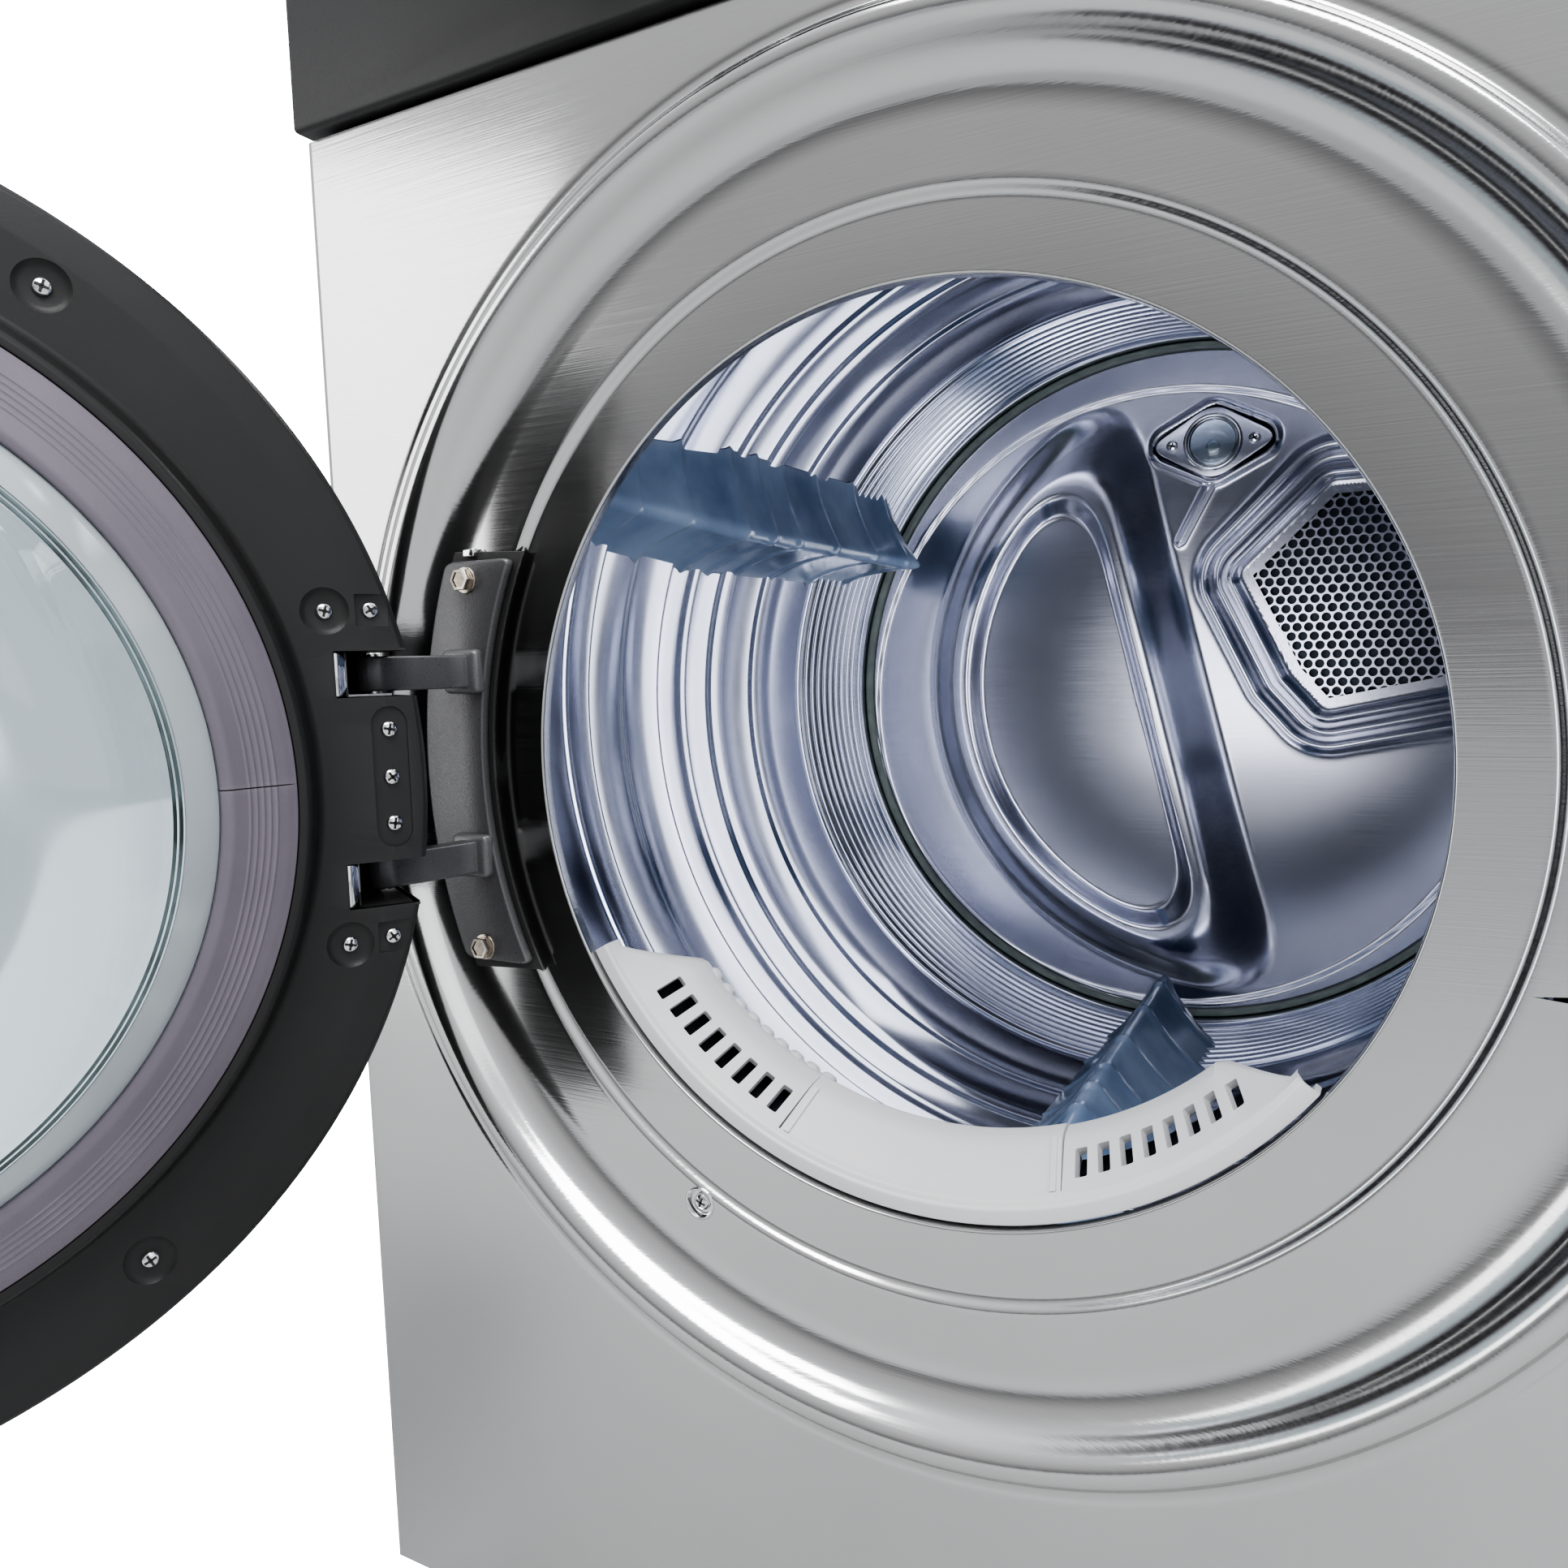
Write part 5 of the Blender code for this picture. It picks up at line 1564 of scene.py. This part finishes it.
    def build(self) -> None:
        """Make all the door's pieces."""
        at = Place.door()
        self.piece("door_cover", Shape.turned(self.cover_profile(), self.steps), CHARCOAL, at,
                   Body.DOOR, ["door_inner_cover"], self.recesses() + self.slot_tools(-0.045, -0.010))
        self.piece("door_hinge_pockets", self.pockets(), CHARCOAL, at, Body.DOOR)
        self.piece("door_hinge_knuckles", self.knuckles(), CHROME, at, Body.DOOR)
        seam = Shape.block((-0.2200, -0.0030, 0.0022), (-0.1850, 0.0120, 0.0027))
        self.piece("door_seal", Shape.turned(self.gasket_profile(), self.steps), GASKET, at,
                   Body.DOOR, ["door_gasket"], [seam])
        self.piece("door_bowl", Shape.turned(self.bowl_profile(), self.steps, closed=False), GLASS, at,
                   Body.DOOR, ["door_glass_bowl"])
        self.piece("door_frame", Shape.turned(self.outer_profile(), self.steps), CHARCOAL, at,
                   Body.DOOR, ["door_outer_ring"], self.slot_tools(-0.0865, -0.030))
        # thin dark rings: painted refraction lines on the glass bowl
        for name, radius, y in (("outer", 0.1706, 0.0164), ("inner", 0.1682, 0.0174)):
            line = [(radius + a, y + b) for a, b in Shape.arc(0.0008, 0, 360, 8)[:-1]]
            self.piece(f"bowl_edge_{name}", Shape.turned(line, self.steps), REFRACTION_LINE, at, Body.DOOR)
        # pale band on the bowl's rim: painted light of the thick glass
        band = [(0.1858, 0.0046), (0.1790, 0.0114), (0.1742, 0.0144), (0.1726, 0.0156),
                (0.1720, 0.0148), (0.1736, 0.0138), (0.1788, 0.0108), (0.1855, 0.0040)]
        self.piece("bowl_band", Shape.turned(band, self.steps), PALE_BAND, at, Body.DOOR)
        trim = Shape.fillet([(0.2060, self.front, 0), (0.2055, self.front, 0.001),
                             (0.1990, self.front + 0.0016, 0.002), (0.1880, -0.0850, 0.002),
                             (0.1880, -0.0845, 0), (0.2060, -0.0900, 0)], 4)
        self.piece("door_trim", Shape.turned(trim, self.steps), CHROME, at, Body.DOOR)
        pane = Shape.fillet([(0.0, -0.0795, 0), (0.1995, -0.0795, 0.001), (0.1995, -0.0755, 0.001),
                             (0.0, -0.0755, 0)], 3)
        self.piece("door_window", Shape.turned(pane, 128, closed=False), GLASS, at, Body.DOOR,
                   ["door_outer_window"])
        self.screws(at)

    def screws(self, at: Matrix) -> None:
        """The cover's screws, at the bottom of their seats.

        Args:
            at: the matrix that sets it in the frame.
        """
        y = self.face - 0.0017
        spots = [(x, y, z) for x, z in self.single]
        spots += [(x, y, z) for pair in self.paired for x, z in pair]
        spots += [(x, y, z) for x, z in self.middle]
        Screws(0.0038, 0.0016).build("door_cover", spots, at, Body.DOOR, facing=1.0)


# ---------------------------------------------------------------- cabinet and controls

@dataclass
class Controls(Assembly):
    """The control fascia with its display, knob and two buttons."""

    middle: float = (0.868 + HEIGHT) / 2
    knob_x: float = -0.120

    def build(self) -> None:
        """Make the fascia's face, knob, buttons and display."""
        at = Place.floor()
        body = Shape.block((-HALF_WIDTH, -0.030, 0.868), (HALF_WIDTH, -0.0043, HEIGHT), 0.0030, 4)
        middle = self.middle
        window = Shape.block((0.020, -0.040, middle - 0.022), (0.140, -0.026, middle + 0.022))
        bores = [Shape.shifted(Shape.slab(Shape.arc(r, 0, 360, 40)[:-1], -0.04, -0.018), x, 0, middle)
                 for r, x in ((0.0058, self.knob_x), (0.0124, 0.200), (0.0124, 0.255))]
        self.piece("fascia", body, CHARCOAL, at, Body.CABINET, ["control_fascia"], [window, *bores])
        glass = Shape.block((0.0204, -0.0298, middle - 0.0216), (0.1396, -0.0278, middle + 0.0216),
                            0.0004, 2)
        self.piece("display_glass", glass, GLOSS_BLACK, at, Body.CABINET, ["display_window"])
        self.piece("display_bars", self.bars(), DISPLAY_MARK, at, Body.CABINET)
        self.build_knob(at)
        for name, x, body_name in (("power", 0.200, Body.POWER), ("start", 0.255, Body.START)):
            cap = Shape.fillet([(0.0, -0.0336, 0), (0.0090, -0.0334, 0.002), (0.0120, -0.0325, 0.001),
                                (0.0120, -0.0200, 0), (0.0, -0.0200, 0)], 4)
            self.piece(f"{name}_cap", Shape.shifted(Shape.turned(cap, 40, closed=False), x, 0, middle),
                       CHARCOAL, at, body_name, [f"{name}_button"])
            ring = Shape.fillet([(0.0150, -0.0300, 0), (0.0148, -0.0308, 0.0004),
                                 (0.0132, -0.0308, 0.0004), (0.0126, -0.0298, 0)], 3)
            self.piece(f"{name}_ring", Shape.shifted(Shape.turned(ring, 40, closed=False), x, 0, middle),
                       CHROME, at, Body.CABINET, wall=0.0003)

    def bars(self) -> BMesh:
        """Plain bars on the display, standing for its read-out.

        Returns:
            The bars' mesh.
        """
        parts = []
        for i in range(5):
            x = 0.036 + 0.020 * i
            parts.append(Shape.block((x, -0.02995, self.middle - 0.006 + 0.001 * i),
                                     (x + 0.012, -0.02985, self.middle - 0.004 + 0.003 * i)))
        return Shape.joined(parts)

    def build_knob(self, at: Matrix) -> None:
        """The knob with a knurled edge and a pointer line.

        Args:
            at: the matrix that sets it in the frame.
        """
        line = Shape.fillet([(0.0, -0.0520, 0), (0.0220, -0.0525, 0.002), (0.0255, -0.0545, 0.001),
                             (0.0285, -0.0538, 0.001), (0.0300, -0.0500, 0.001),
                             (0.0300, -0.0312, 0.0006), (0.0045, -0.0312, 0), (0.0045, -0.018, 0),
                             (0.0, -0.018, 0)], 4)
        knob = Shape.turned(line, 144, closed=False)
        for v in knob.verts:
            if v.co.xz.length > 0.0292:
                turn = math.atan2(v.co.z, v.co.x)
                ridge = 1.0 - 0.010 * (math.cos(turn * 48) < 0)
                v.co.x *= ridge
                v.co.z *= ridge
        spot = Shape.shifted(knob, self.knob_x, 0, self.middle)
        self.piece("knob_body", spot, CHROME, at, Body.KNOB, ["control_knob"], sharp=40)
        mark = Shape.block((self.knob_x - 0.0008, -0.0529, self.middle + 0.010),
                           (self.knob_x + 0.0008, -0.0520, self.middle + 0.020))
        self.piece("knob_mark", mark, GLOSS_BLACK, at, Body.KNOB)


@dataclass
class Cabinet(Assembly):
    """Dresses the CAD parts that stay, and adds rear louvres, screws and top rounding."""

    def dress(self) -> None:
        """Give every CAD node that shows its finish."""
        slots = {row["node"]: row["material_slot"] for row in frame["record"]["subparts"]}
        for node, obj in frame["nodes"].items():
            material = CAD_FINISHES[slots[node]].material()
            if not obj.material_slots:
                obj.data.materials.append(material)
            for slot in obj.material_slots:
                slot.material = material

    def build(self) -> None:
        """Make the top, the rear's louvres and the screws round them."""
        at = Place.floor()
        top = Shape.block((-HALF_WIDTH, -0.004, 0.955), (HALF_WIDTH, 0.700, HEIGHT), 0.004, 4)
        self.piece("top_cover", top, CABINET_PAINT, at, Body.CABINET, ["top_panel"])
        self.piece("rear_louvres", self.louvres(), GALVANIZED, at, Body.CABINET)
        spots = [(x, 0.7002, z) for x in (-0.325, 0.325) for z in (0.06, 0.30, 0.55, 0.80, 0.935)]
        Screws().build("rear_panel", spots, at, Body.CABINET, facing=1.0)

    @staticmethod
    def louvres() -> BMesh:
        """Rows of low louvres on the rear panel.

        Returns:
            The louvres' mesh.
        """
        parts = []
        for row in range(9):
            z = 0.560 + 0.024 * row
            parts.append(Shape.block((0.060, 0.6990, z), (0.240, 0.7035, z + 0.008), 0.0034, 3))
        return Shape.joined(parts)


# ---------------------------------------------------------------- studio

@dataclass
class Studio:
    """Floor, soft lights, pale surroundings and the camera."""

    lens: float = 27.02
    eye: Corner = (0.2052, -0.4953, 0.0498)
    right: Corner = (0.8780, 0.4779, -0.0271)
    up: Corner = (-0.0248, 0.1019, 0.9945)
    ahead: Corner = (-0.4780, 0.8725, -0.1013)

    def camera(self) -> None:
        """Set the camera where the dryer is seen from."""
        data = bpy.data.cameras.new("view")
        data.lens = self.lens
        data.sensor_width = 36.0
        data.clip_start = 0.01
        camera = bpy.data.objects.new("view", data)
        bpy.context.collection.objects.link(camera)
        ahead = Vector(self.ahead).normalized()
        right = (Vector(self.right) - ahead * Vector(self.right).dot(ahead)).normalized()
        up = right.cross(ahead)
        turn = Matrix((right, up, -ahead)).transposed().to_4x4()
        camera.matrix_world = Matrix.Translation(Place.opening() @ Vector(self.eye)) @ turn
        bpy.context.scene.camera = camera

    def floor(self) -> None:
        """A plain pale floor."""
        bm = bmesh.new()
        bmesh.ops.create_grid(bm, x_segments=1, y_segments=1, size=12.0)
        mesh = bpy.data.meshes.new("floor")
        bm.to_mesh(mesh)
        bm.free()
        floor = bpy.data.objects.new("floor", mesh)
        bpy.context.collection.objects.link(floor)
        paint = bpy.data.materials.new("floor_paint")
        paint.use_nodes = True
        shader = paint.node_tree.nodes["Principled BSDF"]
        shader.inputs["Base Color"].default_value = (0.55, 0.55, 0.55, 1.0)
        shader.inputs["Roughness"].default_value = 0.9
        shader.inputs["Emission Color"].default_value = (1.0, 1.0, 1.0, 1.0)
        path = paint.node_tree.nodes.new("ShaderNodeLightPath")
        glow = paint.node_tree.nodes.new("ShaderNodeMath")
        glow.operation = "MULTIPLY"
        glow.inputs[1].default_value = 9.0
        paint.node_tree.links.new(path.outputs["Is Camera Ray"], glow.inputs[0])
        paint.node_tree.links.new(glow.outputs["Value"], shader.inputs["Emission Strength"])
        mesh.materials.append(paint)

    def surroundings(self) -> None:
        """Pale surroundings, lighter overhead than at the floor."""
        world = bpy.data.worlds.new("studio")
        bpy.context.scene.world = world
        world.use_nodes = True
        nodes, link = world.node_tree.nodes, world.node_tree.links.new
        sky = nodes["Background"]
        coords = nodes.new("ShaderNodeTexCoord")
        ramp = nodes.new("ShaderNodeValToRGB")
        ramp.color_ramp.elements[0].position = 0.04
        ramp.color_ramp.elements[0].color = (0.07, 0.07, 0.075, 1.0)
        ramp.color_ramp.elements[1].position = 0.60
        ramp.color_ramp.elements[1].color = (1.0, 1.02, 1.06, 1.0)
        front = ramp.color_ramp.elements.new(0.22)
        front.color = (0.52, 0.52, 0.53, 1.0)
        dot = nodes.new("ShaderNodeVectorMath")
        dot.operation = "DOT_PRODUCT"
        dot.inputs[1].default_value = (0.12, 0.375, 0.25)
        half = nodes.new("ShaderNodeMath")
        half.operation = "ADD"
        half.inputs[1].default_value = 0.5
        path = nodes.new("ShaderNodeLightPath")
        mix = nodes.new("ShaderNodeMix")
        mix.data_type = "RGBA"
        mix.inputs["B"].default_value = (9.0, 9.0, 9.0, 1.0)
        link(coords.outputs["Generated"], dot.inputs[0])
        link(dot.outputs["Value"], half.inputs[0])
        link(half.outputs["Value"], ramp.inputs["Fac"])
        link(ramp.outputs["Color"], mix.inputs["A"])
        link(path.outputs["Is Camera Ray"], mix.inputs["Factor"])
        link(mix.outputs["Result"], sky.inputs["Color"])
        sky.inputs["Strength"].default_value = 1.0

    def lamp(self, name: str, at: Corner, aim: Corner, size: Point, power: float,
             colour: Corner = (1.0, 1.0, 1.0)) -> None:
        """A soft rectangular light.

        Args:
            name: the light's name.
            at: where it is, from the opening's centre.
            aim: the point that it faces.
            size: its width and height.
            power: its power in watts.
            colour: its colour.
        """
        data = bpy.data.lights.new(name, "AREA")
        data.shape = "RECTANGLE"
        data.size, data.size_y = size
        data.energy = power
        data.color = colour
        light = bpy.data.objects.new(name, data)
        bpy.context.collection.objects.link(light)
        light.location = Place.opening() @ Vector(at)
        run = Vector(aim) - Vector(at)
        light.rotation_euler = run.to_track_quat("-Z", "Y").to_euler()
        light.visible_camera = False

    def build(self) -> None:
        """Make the whole studio."""
        bpy.context.scene.view_settings.look = "AgX - High Contrast"
        self.camera()
        self.floor()
        self.surroundings()
        self.lamp("overhead", (0.2, -0.9, 1.6), (0.0, 0.1, 0.0), (1.6, 0.8), 24.0)
        self.lamp("right_side", (1.9, -1.2, 0.9), (0.0, 0.1, 0.0), (1.4, 1.2), 3.0)
        self.lamp("left_side", (-1.9, -1.5, 0.1), (0.0, 0.2, 0.0), (0.9, 2.2), 13.0)
        self.lamp("drum_fill", (0.0, 0.045, 0.02), (0.0, 0.62, 0.0), (0.24, 0.22), 0.38,
                  (0.88, 0.92, 1.0))
        self.lamp("drum_back", (-0.130, 0.560, 0.00), (-0.312, 0.330, 0.02), (0.08, 0.30), 0.13,
                  (0.92, 0.95, 1.0))


# ---------------------------------------------------------------- all together

def main() -> None:
    """Build every sub-assembly in order."""
    logging.basicConfig(level=logging.INFO, format="%(message)s")
    Cabinet().dress()
    for assembly in (Studio(), FrontPanel(), LintParts(), Drum(), RearWall(), Hinge(), Door(),
                     Controls(), Cabinet()):
        assembly.build()
        log.info("built %s", type(assembly).__name__)


if __name__ == "__main__":
    main()
